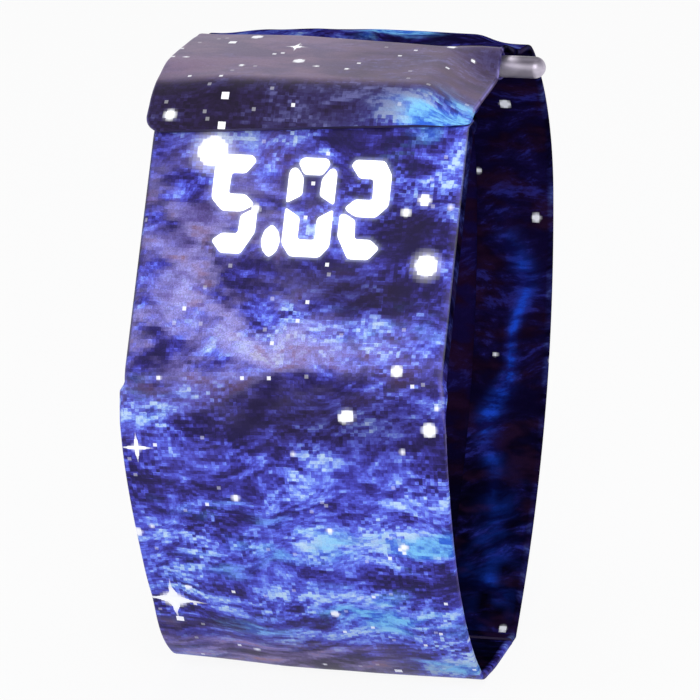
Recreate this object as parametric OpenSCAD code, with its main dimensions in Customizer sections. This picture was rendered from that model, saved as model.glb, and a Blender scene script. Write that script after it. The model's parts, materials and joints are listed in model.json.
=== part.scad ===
// Paper-strap LED wristwatch, closed and standing on its strap.
// X runs across the strap, -Y is the display side, +Z is up.
// The origin lies on the flat underside that the closed loop stands on.

/* [Strap] */
// Width of the strap, a printed paper sleeve pressed flat
strap_w = 34; // [31:0.2:38]
// Thickness of the paper
sheet_t = 0.25; // [0.2:0.01:0.3]
// Width of the glued lap that closes the sleeve along its inner face
lap_w = 8.5; // [5:0.5:14]
// Gap between strap lengths that meet at a fold
fold_gap = 0.12; // [0.08:0.01:0.2]

/* [Loop] */
// Depth of the closed loop, front to back
loop_depth = 52.4; // [48:0.2:60]
// Height of the crease between the display panel and the lower strap
kink_z = 38.2; // [36:0.2:41]
// Lean of the display panel from upright, in degrees
panel_lean = 29; // [25:0.5:32]
// Front edge of the flat underside
base_front = 9.2; // [8.4:0.2:12]
// Back edge of the flat underside, where the strap folds open
base_back = 6; // [4:0.2:9]
// Height of the rearmost point of the loop
rear_z = 45; // [40:0.5:50]

/* [Closure] */
// Diameter of the magnet rod
rod_d = 2.3; // [1.8:0.1:3]
// Length of the magnet rod
rod_len = 34; // [26:0.5:36]
// Length of rod that stands out of the strap's right edge
rod_reach = 4; // [1:0.1:6]
// Rod's height above the surface that the watch stands on
rod_z = 63.8; // [62:0.1:67]
// Rod's place behind the middle of the loop
rod_y = 4.2; // [1:0.1:5]
// Clearance round the rod in its paper pocket
rod_fit = 0.06; // [0.04:0.01:0.15]
// Fall of the top of the strap towards the display, in degrees
top_fall = 5; // [2:0.5:6]
// Distance from the rod's axis to the crease of the flap
crease_back = 2.2; // [2:0.1:5]
// Clearance between the flap and the strap end that it covers
flap_fit = 0.12; // [0.1:0.01:0.25]
// Length of the flap that lies on the display panel, at mid width
flap_drop = 4.2; // [3.6:0.1:6]
// Slant of the flap's cut end, in degrees
flap_slant = 3.8; // [0:0.2:6]
// Radius of the flap's left corner
flap_r_left = 2; // [1:0.1:2.6]
// Radius of the flap's right corner
flap_r_right = 3; // [1:0.1:3.4]
// Thickness of the steel strip in the flap
strip_t = 0.2; // [0.15:0.01:0.4]
// Width of the steel strip, along the flap
strip_w = 7; // [4:0.5:8]
// Distance from each edge of the flap to the steel strip
strip_margin = 3; // [2.5:0.5:7]

/* [Display module] */
// Distance from each edge of the strap to the light mask, circuit board and cell holder
module_margin = 1.2; // [1.1:0.05:1.7]
// Height of the light mask, circuit board and cell holder
module_h = 24.6; // [23:0.1:25]
// Thickness of the white diffuser film
film_t = 0.1; // [0.08:0.01:0.15]
// Thickness of the light mask
mask_t = 0.7; // [0.6:0.05:1]
// Thickness of the circuit board
board_t = 0.4; // [0.3:0.05:0.8]
// Thickness of the insulating film behind the cell
insulator_t = 0.1; // [0.08:0.01:0.15]
// Clearance of the module to the paper in front and behind
stack_gap = 0.05; // [0.03:0.01:0.1]
// Radius of the panel's rounded long edges
panel_edge_r = 1.2; // [0.6:0.1:1.2]

/* [Digits] */
// Width of one digit
digit_w = 5; // [4.4:0.1:5.2]
// Height of one digit
digit_h = 10.3; // [9:0.1:11]
// Width of a lit segment
segment_w = 1.6; // [1.2:0.05:1.8]
// Gap between neighbouring segments
segment_gap = 0.2; // [0.1:0.01:0.3]
// Height of the digits' centre above the crease
digit_mid = 17.3; // [16.5:0.1:17.6]
// Distance from the last digit to the one before it
digit_pitch = 5.7; // [5.5:0.1:5.8]
// Width of the decimal point
point_w = 1.9; // [1.4:0.1:2.1]
// Height of the decimal point
point_h = 3; // [2:0.1:3.4]

/* [Cell] */
// Diameter of the coin cell
cell_d = 20; // [18:0.1:20.4]
// Thickness of the coin cell
cell_t = 1.2; // [1:0.05:1.6]
// Radial clearance of the cell in its holder
cell_fit = 0.1; // [0.05:0.01:0.2]
// Thickness of the spring contacts
contact_t = 0.1; // [0.08:0.01:0.15]

/* [Switch] */
// Diameter of the display button's plunger
plunger_d = 2.6; // [2:0.1:3]
// Travel of the button
plunger_travel = 0.2; // [0.15:0.01:0.25]
// Running clearance of the plunger in its housing
plunger_fit = 0.1; // [0.05:0.01:0.15]

/* [Hidden] */

print_blue = [0.20, 0.20, 0.52];
print_dark = [0.13, 0.12, 0.33];
arc_step = 6;

// Headings along the strap in the Y-Z plane, turning left all the way round
top_heading = 180 + top_fall;
panel_heading = 270 - panel_lean;
lower_heading = 272;
toe_heading = 322;
base_heading = 360;
rear_heading = 403;
upright_heading = 450;
rear_end_heading = 538;

// Radii of the folds, on the outer face
top_bend_r = 3;
kink_r = 2.5;
toe_r = 4;

// Thicknesses of the flat sleeve, of its lap and of the flap
flat_t = 2 * sheet_t;
lap_t = 3 * sheet_t;
lap_from = strap_w / 2 - lap_w;
strip_slack = 0.03;
flap_t = flat_t + strip_t + 2 * strip_slack;

// Layers of the display panel, as depths below its outer face
film_at = sheet_t + stack_gap;
mask_at = film_at + film_t;
board_at = mask_at + mask_t;
bay_at = board_at + board_t;
bay_t = cell_t + 2 * contact_t;
insulator_at = bay_at + bay_t;
panel_t = insulator_at + insulator_t + stack_gap + sheet_t;

// The panel is narrower than the flat strap, because the paper goes round the module's edges
panel_tuck = 0.4;
panel_w = strap_w - 2 * panel_tuck;
panel_x = 0.2;
flare_drop = 0.6;
flare_run = 1.3;
flare_depth = 4;
module_w = strap_w - 2 * module_margin;
module_low = 0.9;
module_mid = module_low + module_h / 2;
panel_top = module_mid + module_h / 2 + module_low;
ramp_bite = 0.45;
ramp_lap_share = 0.8;
cheek_gap = 0.1;
cheek_inset = panel_edge_r + cheek_gap;

// Fixed points of the loop, each [Y, Z]
kink = [-loop_depth / 2, kink_z];
rod_axis = [rod_y, rod_z];
pocket_in = rod_d / 2 + rod_fit;
pocket_out = pocket_in + flat_t;
crease_y = rod_y + crease_back;
lid_z = rod_z + pocket_out;
crease_z = lid_z + flap_fit + flap_t;

// Strap end that goes round the rod: where its tail comes up, and its glued length
tail_run = 5.5;
tail_glue = 2.5;
ramp_foot_gap = 1;

// Steel strip's place on the flap, from the point above the rod
strip_from = 1;
strip_len = strap_w - 2 * strip_margin;

// How far a cutter stands past the two faces that it cuts through
cut_over = 0.1;

// Digits: places of their middles across the panel, and what each shows
digit_right = 6.8;
point_room = 2.2;
point_step = 4.2;
point_rise = 1.2;
one_room = 0.8;
digit_x = [digit_right - 2 * digit_pitch - point_room, digit_right - digit_pitch, digit_right];
digit_show = [5, 0, 2];
one_x = digit_x[0] - digit_pitch - one_room;
point_at = [digit_x[0] + point_step, digit_mid - digit_h / 2 + point_rise];
digit_span = digit_w - segment_w;
digit_rise = (digit_h - segment_w) / 2;
full_digit = 8;
one_digit = 1;

// Segments in the usual order: top, upper right, lower right, bottom, lower left, upper left, middle
segment_xy = [
    [0, digit_rise], [digit_span, digit_rise] / 2, [digit_span, -digit_rise] / 2, [0, -digit_rise],
    [-digit_span, -digit_rise] / 2, [-digit_span, digit_rise] / 2, [0, 0]
];
segment_angle = [0, 90, 90, 0, 90, 90, 0];
segments_of = [
    [0, 1, 2, 3, 4, 5], [1, 2], [0, 1, 6, 4, 3], [0, 1, 2, 3, 6], [5, 6, 1, 2],
    [0, 5, 6, 2, 3], [0, 5, 6, 4, 2, 3], [0, 1, 2], [0, 1, 2, 3, 4, 5, 6], [0, 1, 2, 3, 5, 6]
];

// Light chips
led_l = 1.1;
led_w = 0.6;
led_h = 0.35;
led_step = 0.1;
filler_gap = 0.05;

// Cell and its holder
can_t = 0.2;
holder_wall = 0.8;
cell_at = [holder_wall + cell_fit + (cell_d - module_w) / 2, module_mid];

// Bay for the electronics, between the positive contact's leg and the holder's right wall
leg_x = cell_at.x + cell_d / 2 + cell_fit + holder_wall + contact_t;
bay_to = module_w / 2 - holder_wall;
bay_w = bay_to - leg_x - contact_t;
bay_mid = bay_to - bay_w / 2;

// Electronics on the back of the board, in a column in the bay
chip_rise = 5.4;
chip_at = [bay_mid, module_mid + chip_rise];
chip_w = 4.6;
chip_h = 0.85;
chip_pitch = 0.65;
chip_pad = 0.3;
crystal_rise = 0.4;
crystal_at = [bay_mid, module_mid + crystal_rise];
crystal_l = 3.2;
crystal_w = 1.5;
crystal_h = 0.8;
crystal_r = 0.2;
crystal_lid = 0.2;
passive_l = 1.6;
passive_w = 0.8;
passive_cap = 0.3;
passive_rise = 0.03;
passive_share = 0.216;
passive_pitch = passive_share * bay_w;
resistor_drop = 2.8;
resistor_row = module_mid - resistor_drop;
resistor_h = 0.45;
capacitor_drop = 5.8;
capacitor_row = module_mid - capacitor_drop;
capacitor_h = 0.7;
board_notch_r = 0.8;

// Films and spring contacts
film_inset = 0.4;
contact_r = 4;
finger_w = 1.2;
finger_len = 2.5;

// Display button, low on the panel
button_inset = 7.6;
button_rise = 4.3;
button_at = [module_w / 2 - button_inset, module_low + button_rise];
button_gap = 0.05;
lip_t = 0.12;
lip_gap = 0.02;
flange_reach = 0.3;
flange_r = plunger_d / 2 + flange_reach;
flange_t = mask_t - button_gap - lip_t - lip_gap - plunger_travel;
housing_wall = 0.4;
housing_r = flange_r + plunger_fit + housing_wall;

function heading(a) = [cos(a), sin(a)];
function left_of(a) = [-sin(a), cos(a)];

// Points of an arc that turns left from heading a to heading b about a centre
function turn(centre, r, a, b) =
    let (n = max(2, ceil((b - a) / arc_step)))
    [for (i = [0 : n]) centre - r * left_of(a + (b - a) * i / n)];

// Length that a fillet of radius r takes off each side of a corner
function cut_back(r, a, b) = r * tan((b - a) / 2);

// Rounded corner at a point where the heading changes from a to b
function bend(corner, r, a, b) =
    turn(corner - cut_back(r, a, b) * heading(a) + r * left_of(a), r, a, b);

// Point where a line through p with heading a meets a line through q with heading b
function meet(p, a, q, b) =
    let (u = heading(a), v = heading(b), w = q - p)
    p + u * (w.x * v.y - w.y * v.x) / (u.x * v.y - u.y * v.x);

// Smooth stretch from p to q with given headings and handle lengths
function stretch(p, a, grip_p, q, b, grip_q, n) =
    let (p1 = p + grip_p * heading(a), q1 = q - grip_q * heading(b))
    [for (i = [0 : n]) let (u = i / n, v = 1 - u)
        v * v * v * p + 3 * v * v * u * p1 + 3 * v * u * u * q1 + u * u * u * q];

// Part of a path from point i to point j
function piece(path, i, j) = [for (k = [i : j]) path[k]];
function rest_of(path) = piece(path, 1, len(path) - 1);

// Inward direction at point i of a path, scaled so that a band keeps its thickness.
// At the path's two ends it is the given start and finish.
function inward(path, i, start, finish) =
    i == 0 ? start :
    i == len(path) - 1 ? finish :
    let (u = path[i] - path[i - 1], v = path[i + 1] - path[i],
         m = [-u.y, u.x] / norm(u) + [-v.y, v.x] / norm(v))
    2 * m / (m * m);

// Points at a depth below a path
function below(path, depth, start, finish) =
    [for (i = [0 : len(path) - 1]) path[i] + depth * inward(path, i, start, finish)];

// Outline between two depths below a path
function band(path, from, to, start, finish) =
    let (deep = below(path, to, start, finish), last = len(path) - 1)
    concat(below(path, from, start, finish), [for (i = [last : -1 : 0]) deep[i]]);

// Inward direction across the panel, and points on its face and on the line above the rod
panel_in = left_of(panel_heading);
function on_face(up, depth) = kink - up * heading(panel_heading) + depth * panel_in;
lid_start = rod_axis - pocket_out * left_of(top_heading);
function on_lid(along, depth) = lid_start + along * heading(top_heading) + depth * left_of(top_heading);
function lid_slab(from, to, high, low) =
    [on_lid(from, high), on_lid(to, high), on_lid(to, low), on_lid(from, low)];

// Lowest point, seen from p, where a line through p touches a circle of radius r about the rod
function under(p, r) =
    let (v = p - rod_axis, a = atan2(v.y, v.x) + acos(r / norm(v)))
    rod_axis + r * heading(a);

// Outer face of the strap end: from above the rod, over the top bend and down to the panel
top_corner = meet(lid_start, top_heading, kink, panel_heading);
lid_path = concat(
    turn(rod_axis, pocket_out, 180, top_heading),
    bend(top_corner, top_bend_r, top_heading, panel_heading));
flap_end = norm(top_corner - kink) - flap_drop;

// Outer face of the lower strap: kink, belly, toe and flat underside
belly_grip_high = 11;
belly_grip_low = 13;
belly_steps = 14;
ramp_steps = 2;
toe = [-base_front, 0];
belly = stretch(
    kink + cut_back(kink_r, panel_heading, lower_heading) * heading(lower_heading), lower_heading, belly_grip_high,
    toe - cut_back(toe_r, toe_heading, base_heading) * heading(toe_heading), toe_heading, belly_grip_low,
    belly_steps);
toe_path = concat(bend(toe, toe_r, toe_heading, base_heading), [[base_back - fold_gap / 2, 0]]);
lower_path = concat(bend(kink, kink_r, panel_heading, lower_heading), rest_of(belly), rest_of(toe_path));
function belly_point(i, depth) = belly[i] + depth * inward(belly, i, left_of(lower_heading), left_of(toe_heading));

// Outer face of the rear strap, from the fold at the base to the flap's crease
rear_point = [loop_depth / 2, rear_z];
rear_start = [base_back, 0] + fold_gap / 2 * heading(rear_heading);
rear_end = [crease_y + fold_gap / 2, crease_z];
heel_grip = 16;
back_grip_low = 20;
back_grip_high = 11;
shoulder_grip = 10;
rear_path = concat(
    stretch(rear_start, rear_heading, heel_grip, rear_point, upright_heading, back_grip_low, 16),
    rest_of(stretch(rear_point, upright_heading, back_grip_high, rear_end, rear_end_heading, shoulder_grip, 14)));

// Mitre between the two strap lengths that meet at the back edge of the underside
fold_mitre = left_of((base_heading + rear_heading) / 2) / cos((rear_heading - base_heading) / 2);
crease_square = left_of(180);

// Y-Z outline drawn out along X
module across(x0, x1) {
    translate([x0, 0, 0])
        rotate([90, 0, 90])
            linear_extrude(x1 - x0)
                children();
}

// Panel's own frame: x across, y up the panel, z out of its face, zero at the kink
module on_panel() {
    translate([panel_x, kink.x, kink.y])
        rotate([90 - panel_lean, 0, 0])
            children();
}

// Plate of a given thickness whose front lies at a given depth in the panel
module layer(depth, t) {
    on_panel()
        translate([0, 0, -depth - t])
            linear_extrude(t)
                children();
}

module rounded_rect(w, h, r) {
    square([w - 2 * r, h], center = true);
    square([w, h - 2 * r], center = true);
    for (x = [-1, 1], y = [-1, 1])
        translate([x * (w / 2 - r), y * (h / 2 - r)])
            circle(r, $fn = 32);
}

// One hexagonal segment lying along x
module segment(length) {
    h = segment_w / 2;
    polygon([[-length / 2, 0], [h - length / 2, h], [length / 2 - h, h],
             [length / 2, 0], [length / 2 - h, -h], [h - length / 2, -h]]);
}

// The segments of one digit, which is at a place across the panel
module digit(x, shown) {
    for (i = segments_of[shown])
        translate([x, digit_mid] + segment_xy[i])
            rotate(segment_angle[i])
                segment((segment_angle[i] == 0 ? digit_span : digit_rise) - segment_gap);
}

module decimal_point() {
    w = point_w / 2;
    h = point_h / 2;
    translate(point_at)
        polygon([[0, -h], [w, w - h], [w, h - w], [0, h], [-w, h - w], [-w, w - h]]);
}

// Every light window of the mask: three digits, the point and a leading one
module all_windows() {
    for (x = digit_x)
        digit(x, full_digit);
    digit(one_x, one_digit);
    decimal_point();
}

// The windows that are alight
module lit_windows() {
    for (i = [0 : len(digit_x) - 1])
        digit(digit_x[i], digit_show[i]);
    decimal_point();
}

// Outline of the module's plates
module plate_outline(inset = 0) {
    translate([0, module_mid])
        square([module_w - 2 * inset, module_h - 2 * inset], center = true);
}

// Tube of paper round the module
module panel_tube() {
    on_panel()
        translate([0, panel_top, -panel_t / 2])
            rotate([90, 0, 0])
                linear_extrude(panel_top)
                    difference() {
                        rounded_rect(panel_w, panel_t, panel_edge_r);
                        rounded_rect(panel_w - 2 * sheet_t, panel_t - 2 * sheet_t, panel_edge_r - sheet_t);
                    }
}

// Inner sheet that slopes between the panel's back and the flat strap, with cheeks at its edges.
// The hollow lies to the left of the way from start to finish. The sheet bites into what it meets at
// both ends, and its lap stands off a little less than a sheet, so that it dies into the laps there.
module ramp(start, finish, cheek) {
    way = (finish - start) / norm(finish - start);
    side = sheet_t * [-way.y, way.x];
    from = start - ramp_bite * way;
    to = finish + ramp_bite * way;
    x0 = panel_x - panel_w / 2 + cheek_inset;
    x1 = panel_x + panel_w / 2 - cheek_inset;
    across(x0, x1)
        polygon([from, to, to + side, from + side]);
    across(lap_from, x1)
        polygon([start - ramp_lap_share * side, to - ramp_lap_share * side, to + side / 2, from + side / 2]);
    for (x = [x0, x1 - sheet_t])
        across(x, x + sheet_t)
            polygon(concat([start, finish], cheek));
}

// Spare paper at both ends of the kink, where the strap flares from the panel's width to its own
module kink_corners() {
    low = kink_z - flare_drop - flare_run;
    for (side = [-1, 1])
        translate([0, kink.x + flare_depth, 0])
            rotate([90, 0, 0])
                linear_extrude(2 * flare_depth)
                    polygon([[side * strap_w / 2, low], [panel_x + side * panel_w / 2, low + flare_run],
                             [panel_x + side * panel_w / 2, kink_z + kink_r], [side * strap_w, kink_z + kink_r],
                             [side * strap_w, low]]);
}

// Strap end that wraps the rod and is glued back under itself
module rod_pocket() {
    glue_end = tail_run + tail_glue;
    across(-strap_w / 2, strap_w / 2)
        difference() {
            union() {
                translate(rod_axis)
                    circle(pocket_out, $fn = 64);
                polygon([lid_start, on_lid(glue_end, 0), on_lid(glue_end, 2 * flat_t),
                         on_lid(tail_run, 2 * flat_t), under(on_lid(tail_run, 2 * flat_t), pocket_out), rod_axis]);
            }
            translate(rod_axis)
                circle(pocket_in, $fn = 64);
            polygon([on_lid(0, flat_t), on_lid(tail_run, flat_t), under(on_lid(tail_run, flat_t), pocket_in),
                     rod_axis]);
        }
}

module front_sleeve() {
    color(print_blue) {
        difference() {
            panel_tube();
            layer(-cut_over, sheet_t + 2 * cut_over)
                lit_windows();
        }
        rod_pocket();
        across(-strap_w / 2, strap_w / 2)
            polygon(band(concat(lid_path, [on_face(panel_top - sheet_t, 0)]), 0, flat_t, crease_square, panel_in));
        difference() {
            across(-strap_w / 2, strap_w / 2)
                polygon(band(lower_path, 0, flat_t, panel_in, fold_mitre));
            kink_corners();
        }
        across(lap_from, strap_w / 2)
            polygon(band(concat(piece(belly, ramp_steps, belly_steps - 1), toe_path), sheet_t, lap_t,
                belly_point(ramp_steps, 1) - belly[ramp_steps], fold_mitre));
        layer(panel_t, sheet_t)
            translate([lap_from - panel_x, 0])
                square([panel_w / 2 - panel_edge_r - lap_from + panel_x, panel_top]);
        ramp(on_face(panel_top, panel_t), on_lid(tail_run + tail_glue + ramp_foot_gap, flat_t),
            [meet(on_lid(0, flat_t), top_heading, on_face(0, flat_t), panel_heading),
             on_face(panel_top, sheet_t)]);
        ramp(belly_point(ramp_steps, flat_t), on_face(0, panel_t),
            concat([on_face(0, sheet_t)], [for (i = [0 : ramp_steps]) belly_point(i, sheet_t)]));
    }
}

module rear_sleeve() {
    color(print_dark) {
        across(-strap_w / 2, strap_w / 2)
            polygon(band(rear_path, 0, flat_t, fold_mitre, crease_square));
        across(lap_from, strap_w / 2)
            polygon(band(rear_path, sheet_t, lap_t, fold_mitre, crease_square));
    }
}

// Flap: the same line as the strap end below it, one clearance further out, cut to a slanted end
module flap_sleeve() {
    path = concat([[crease_y - fold_gap / 2, lid_z]], lid_path, [on_face(flap_end - strap_w / 8, 0)]);
    color(print_blue)
        difference() {
            intersection() {
                across(-strap_w / 2, strap_w / 2)
                    polygon(band(path, -flap_fit - flap_t, -flap_fit, crease_square, panel_in));
                on_panel()
                    translate([-panel_x, 0, -loop_depth])
                        linear_extrude(loop_depth + strap_w)
                            flap_outline();
            }
            across(-strip_len / 2 - strip_slack, strip_len / 2 + strip_slack)
                polygon(lid_slab(strip_from - strip_slack, strip_from + strip_w + strip_slack,
                    sheet_t - flap_fit - flap_t, -flap_fit - sheet_t));
        }
}

// Slanted end of the flap with its two rounded corners, in the panel's frame
module flap_outline() {
    left = -strap_w / 2 + flap_r_left;
    right = strap_w / 2 - flap_r_right;
    polygon(concat(
        [[-strap_w / 2, loop_depth]],
        turn([left, flap_end + left * tan(flap_slant) + flap_r_left / cos(flap_slant)],
            flap_r_left, 270, base_heading + flap_slant),
        turn([right, flap_end + right * tan(flap_slant) + flap_r_right / cos(flap_slant)],
            flap_r_right, base_heading + flap_slant, upright_heading),
        [[strap_w / 2, loop_depth]]));
}

// Steel strip between the flap's two sheets, which the magnet rod pulls on
module flap_strip() {
    color("silver")
        across(-strip_len / 2, strip_len / 2)
            polygon(lid_slab(strip_from, strip_from + strip_w,
                sheet_t + strip_slack - flap_fit - flap_t, -flap_fit - sheet_t - strip_slack));
}

module magnet_rod() {
    r = rod_d / 2;
    color("silver")
        translate([strap_w / 2 + rod_reach, rod_axis.x, rod_axis.y])
            rotate([0, -90, 0]) {
                translate([0, 0, r])
                    cylinder(h = rod_len - 2 * r, r = r, $fn = 64);
                for (z = [r, rod_len - r])
                    translate([0, 0, z])
                        sphere(r, $fn = 64);
            }
}

// Patches of the panel's face that shine while the time is shown
module lit_digits() {
    color("white")
        layer(0, sheet_t)
            lit_windows();
}

module diffuser_film() {
    color("whitesmoke")
        layer(film_at, film_t)
            plate_outline(film_inset);
}

// Plate whose windows keep the light of each segment apart
module light_mask() {
    color("gainsboro")
        layer(mask_at, mask_t)
            difference() {
                plate_outline();
                all_windows();
                translate(button_at)
                    circle(housing_r + plunger_fit, $fn = 48);
            }
}

// Clear resin in the front half of each window
module segment_fillers() {
    color("ivory")
        layer(mask_at, mask_t - led_h - filler_gap)
            all_windows();
}

// One light chip at the middle of each window
module led_chips() {
    color("khaki") {
        for (x = digit_x, i = segments_of[full_digit])
            led_at([x, digit_mid] + segment_xy[i], segment_angle[i]);
        for (i = segments_of[one_digit])
            led_at([one_x, digit_mid] + segment_xy[i], segment_angle[i]);
        led_at(point_at, 90);
    }
}

module led_at(xy, angle) {
    layer(board_at - led_h / 2, led_h / 2)
        translate(xy)
            rotate(angle)
                square([led_l, led_w], center = true);
    layer(board_at - led_h, led_h)
        translate(xy)
            rotate(angle)
                square([led_l, led_w] - [1, 1] * led_step, center = true);
}

module circuit_board() {
    color("darkgreen")
        layer(board_at, board_t)
            difference() {
                plate_outline();
                for (x = [-1, 1])
                    translate([x * module_w / 2, module_mid])
                        circle(board_notch_r, $fn = 32);
            }
}

module controller_chip() {
    color("dimgray") {
        layer(bay_at, chip_h)
            translate(chip_at)
                square(chip_w, center = true);
        for (side = [0 : 3], i = [-2 : 2])
            layer(bay_at, chip_pad)
                translate(chip_at)
                    rotate(90 * side)
                        translate([chip_w / 2, i * chip_pitch])
                            square([chip_pad, chip_pitch / 2], center = true);
    }
}

module quartz_crystal() {
    color("lightgray") {
        layer(bay_at, crystal_h - crystal_lid)
            translate(crystal_at)
                rounded_rect(crystal_l, crystal_w, crystal_r);
        layer(bay_at, crystal_h)
            translate(crystal_at)
                rounded_rect(crystal_l - crystal_r, crystal_w - crystal_r, crystal_r);
    }
}

// Row of small chips side by side, each with a metal cap at both ends
module passive_row(row, count, height) {
    for (i = [0 : count - 1])
        let (x = chip_at.x + (i - (count - 1) / 2) * passive_pitch) {
            layer(bay_at, height)
                translate([x, row])
                    square([passive_w, passive_l - 2 * passive_cap], center = true);
            for (y = [-1, 1])
                layer(bay_at, height + passive_rise)
                    translate([x, row + y * (passive_l - passive_cap) / 2])
                        square([passive_w, passive_cap], center = true);
        }
}

module resistors() {
    color("black")
        passive_row(resistor_row, 4, resistor_h);
}

module capacitors() {
    color("tan")
        passive_row(capacitor_row, 3, capacitor_h);
}

// Moulded holder with a round well for the cell and a window over the electronics
module cell_holder() {
    window_x = leg_x - contact_t;
    color("gray")
        layer(bay_at, bay_t - contact_t)
            difference() {
                plate_outline();
                translate(cell_at)
                    circle(cell_d / 2 + cell_fit, $fn = 96);
                translate([window_x, module_low + holder_wall])
                    square([bay_to - window_x, module_h - 2 * holder_wall]);
            }
}

// Round form on the cell's axis, whose profile is radius against height above the board
module on_cell() {
    on_panel()
        translate([cell_at.x, cell_at.y, -bay_at - contact_t])
            rotate([180, 0, 0])
                rotate_extrude($fn = 96)
                    children();
}

// Positive can: the cell's back and its rolled wall
module cell_can() {
    r = cell_d / 2;
    color("silver")
        on_cell()
            polygon([[0, cell_t - can_t], [r - can_t, cell_t - can_t], [r - can_t, 2 * can_t],
                     [r - 3 * can_t, can_t], [r - 2.5 * can_t, 0.5 * can_t], [r, 1.5 * can_t],
                     [r, cell_t - 0.5 * can_t], [r - 0.5 * can_t, cell_t], [0, cell_t]]);
}

// Sealing ring between the can and the cap
module cell_gasket() {
    r = cell_d / 2;
    color("white")
        on_cell()
            polygon([[r - can_t, 2.2 * can_t], [r - can_t, cell_t - can_t], [r - 4.5 * can_t, cell_t - can_t],
                     [r - 4.5 * can_t, 3 * can_t], [r - 3.6 * can_t, 2.2 * can_t]]);
}

// Negative cap, which faces the board
module cell_cap() {
    r = cell_d / 2 - 4.5 * can_t;
    color("lightgray")
        on_cell()
            polygon([[0, 0], [r - 1.5 * can_t, 0], [r, can_t], [r, cell_t - 2 * can_t],
                     [r - can_t, cell_t - 2 * can_t], [r - can_t, 1.5 * can_t], [r - 2 * can_t, can_t],
                     [0, can_t]]);
}

// Flat spring under the cap: a ring with four fingers
module negative_contact() {
    color("goldenrod")
        layer(bay_at, contact_t)
            translate(cell_at)
                difference() {
                    union() {
                        circle(contact_r, $fn = 48);
                        for (a = [0 : 90 : 270])
                            rotate(a)
                                translate([0, -finger_w / 2])
                                    square([contact_r + finger_len, finger_w]);
                    }
                    circle(contact_r - finger_w, $fn = 48);
                }
}

// Strap over the cell's back with a leg down to the board
module positive_contact() {
    color("goldenrod") {
        layer(bay_at + bay_t - contact_t, contact_t)
            translate([cell_at.x - contact_r, cell_at.y - finger_w])
                square([leg_x + contact_t - cell_at.x + contact_r, 2 * finger_w]);
        layer(bay_at, bay_t)
            translate([leg_x, cell_at.y - finger_w])
                square([contact_t, 2 * finger_w]);
    }
}

module insulator_film() {
    color("khaki")
        layer(insulator_at, insulator_t)
            plate_outline(film_inset + panel_edge_r / 4);
}

// Round plate about the button's axis
module button_disc(depth, t, r) {
    layer(depth, t)
        translate(button_at)
            circle(r, $fn = 48);
}

// Ring on the board that guides the plunger under its lip
module switch_housing() {
    front = mask_at + button_gap;
    color("dimgray")
        difference() {
            button_disc(front, mask_t - button_gap, housing_r);
            button_disc(front - cut_over, mask_t, plunger_d / 2 + plunger_fit);
            button_disc(front + lip_t, mask_t, flange_r + plunger_fit);
        }
}

module switch_plunger() {
    flange_at = mask_at + button_gap + lip_t + lip_gap;
    color("white") {
        button_disc(mask_at + button_gap / 2, button_gap / 2 + lip_t + lip_gap + flange_t, plunger_d / 2);
        button_disc(flange_at, flange_t, flange_r);
    }
}

front_sleeve();
rear_sleeve();
flap_sleeve();
flap_strip();
magnet_rod();
lit_digits();
diffuser_film();
light_mask();
segment_fillers();
led_chips();
circuit_board();
controller_chip();
quartz_crystal();
resistors();
capacitors();
cell_holder();
cell_can();
cell_gasket();
cell_cap();
negative_contact();
positive_contact();
insulator_film();
switch_housing();
switch_plunger();
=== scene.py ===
import json
import math
from types import SimpleNamespace

import bpy
import numpy as np
from mathutils import Matrix, Vector


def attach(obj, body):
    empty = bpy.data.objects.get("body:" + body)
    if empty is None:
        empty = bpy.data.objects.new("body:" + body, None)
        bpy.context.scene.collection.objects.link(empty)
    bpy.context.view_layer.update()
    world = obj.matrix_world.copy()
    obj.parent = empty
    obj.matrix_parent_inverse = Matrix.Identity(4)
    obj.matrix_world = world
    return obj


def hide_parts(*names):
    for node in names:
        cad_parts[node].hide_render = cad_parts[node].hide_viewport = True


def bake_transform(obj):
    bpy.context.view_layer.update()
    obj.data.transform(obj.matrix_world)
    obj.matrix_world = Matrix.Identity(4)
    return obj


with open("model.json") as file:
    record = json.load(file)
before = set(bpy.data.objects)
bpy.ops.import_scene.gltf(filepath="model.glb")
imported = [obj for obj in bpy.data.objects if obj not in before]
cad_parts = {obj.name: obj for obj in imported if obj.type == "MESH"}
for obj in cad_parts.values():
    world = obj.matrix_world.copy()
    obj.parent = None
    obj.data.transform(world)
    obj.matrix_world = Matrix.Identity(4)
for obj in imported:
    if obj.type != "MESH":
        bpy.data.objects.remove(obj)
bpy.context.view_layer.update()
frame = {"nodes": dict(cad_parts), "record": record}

# Sizes in millimetres, as in the solids
MM = 0.001
HALF = 17.0
SHEET = 0.25
FLAT = 2 * SHEET
LAP_FROM = 8.5  # the lap covers the inner face from here to the right edge
LAP_LEAST = 0.004  # where the lap ends its step gets this low, but never folds away to nothing
PANEL_LEFT, PANEL_RIGHT = -16.4, 16.8
PANEL_T = 3.3
PANEL_TOP = 26.4
EDGES = 1.1, 0.5  # radius of the rounded long edges, left and right
SHARP_EDGES = 0.05, 0.05
LEAN = 29.0
KINK = np.array([-26.2, 38.2])
ROD = np.array([4.2, 63.8])
ROD_R = 1.15
POCKET_OUT = ROD_R + 0.06 + FLAT
TOP_HEAD, PANEL_HEAD, LOWER_HEAD, TOE_HEAD, REAR_HEAD = 185.0, 270.0 - LEAN, 272.0, 322.0, 403.0
TOP_R, KINK_R, TOE_R = 3.0, 2.5, 4.0
TAIL_RUN, TAIL_GLUE = 5.5, 2.5
FLAP_FIT, FLAP_T = 0.12, 0.76
FLAP_DROP, FLAP_SLANT = 4.2, 3.8
CREASE_Y = ROD[0] + 2.2
CREASE_Z = ROD[1] + POCKET_OUT + FLAP_FIT + FLAP_T
BASE_FRONT, BASE_BACK = 9.2, 6.0
LOOP_DEPTH, REAR_Z = 52.4, 45.0
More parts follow.
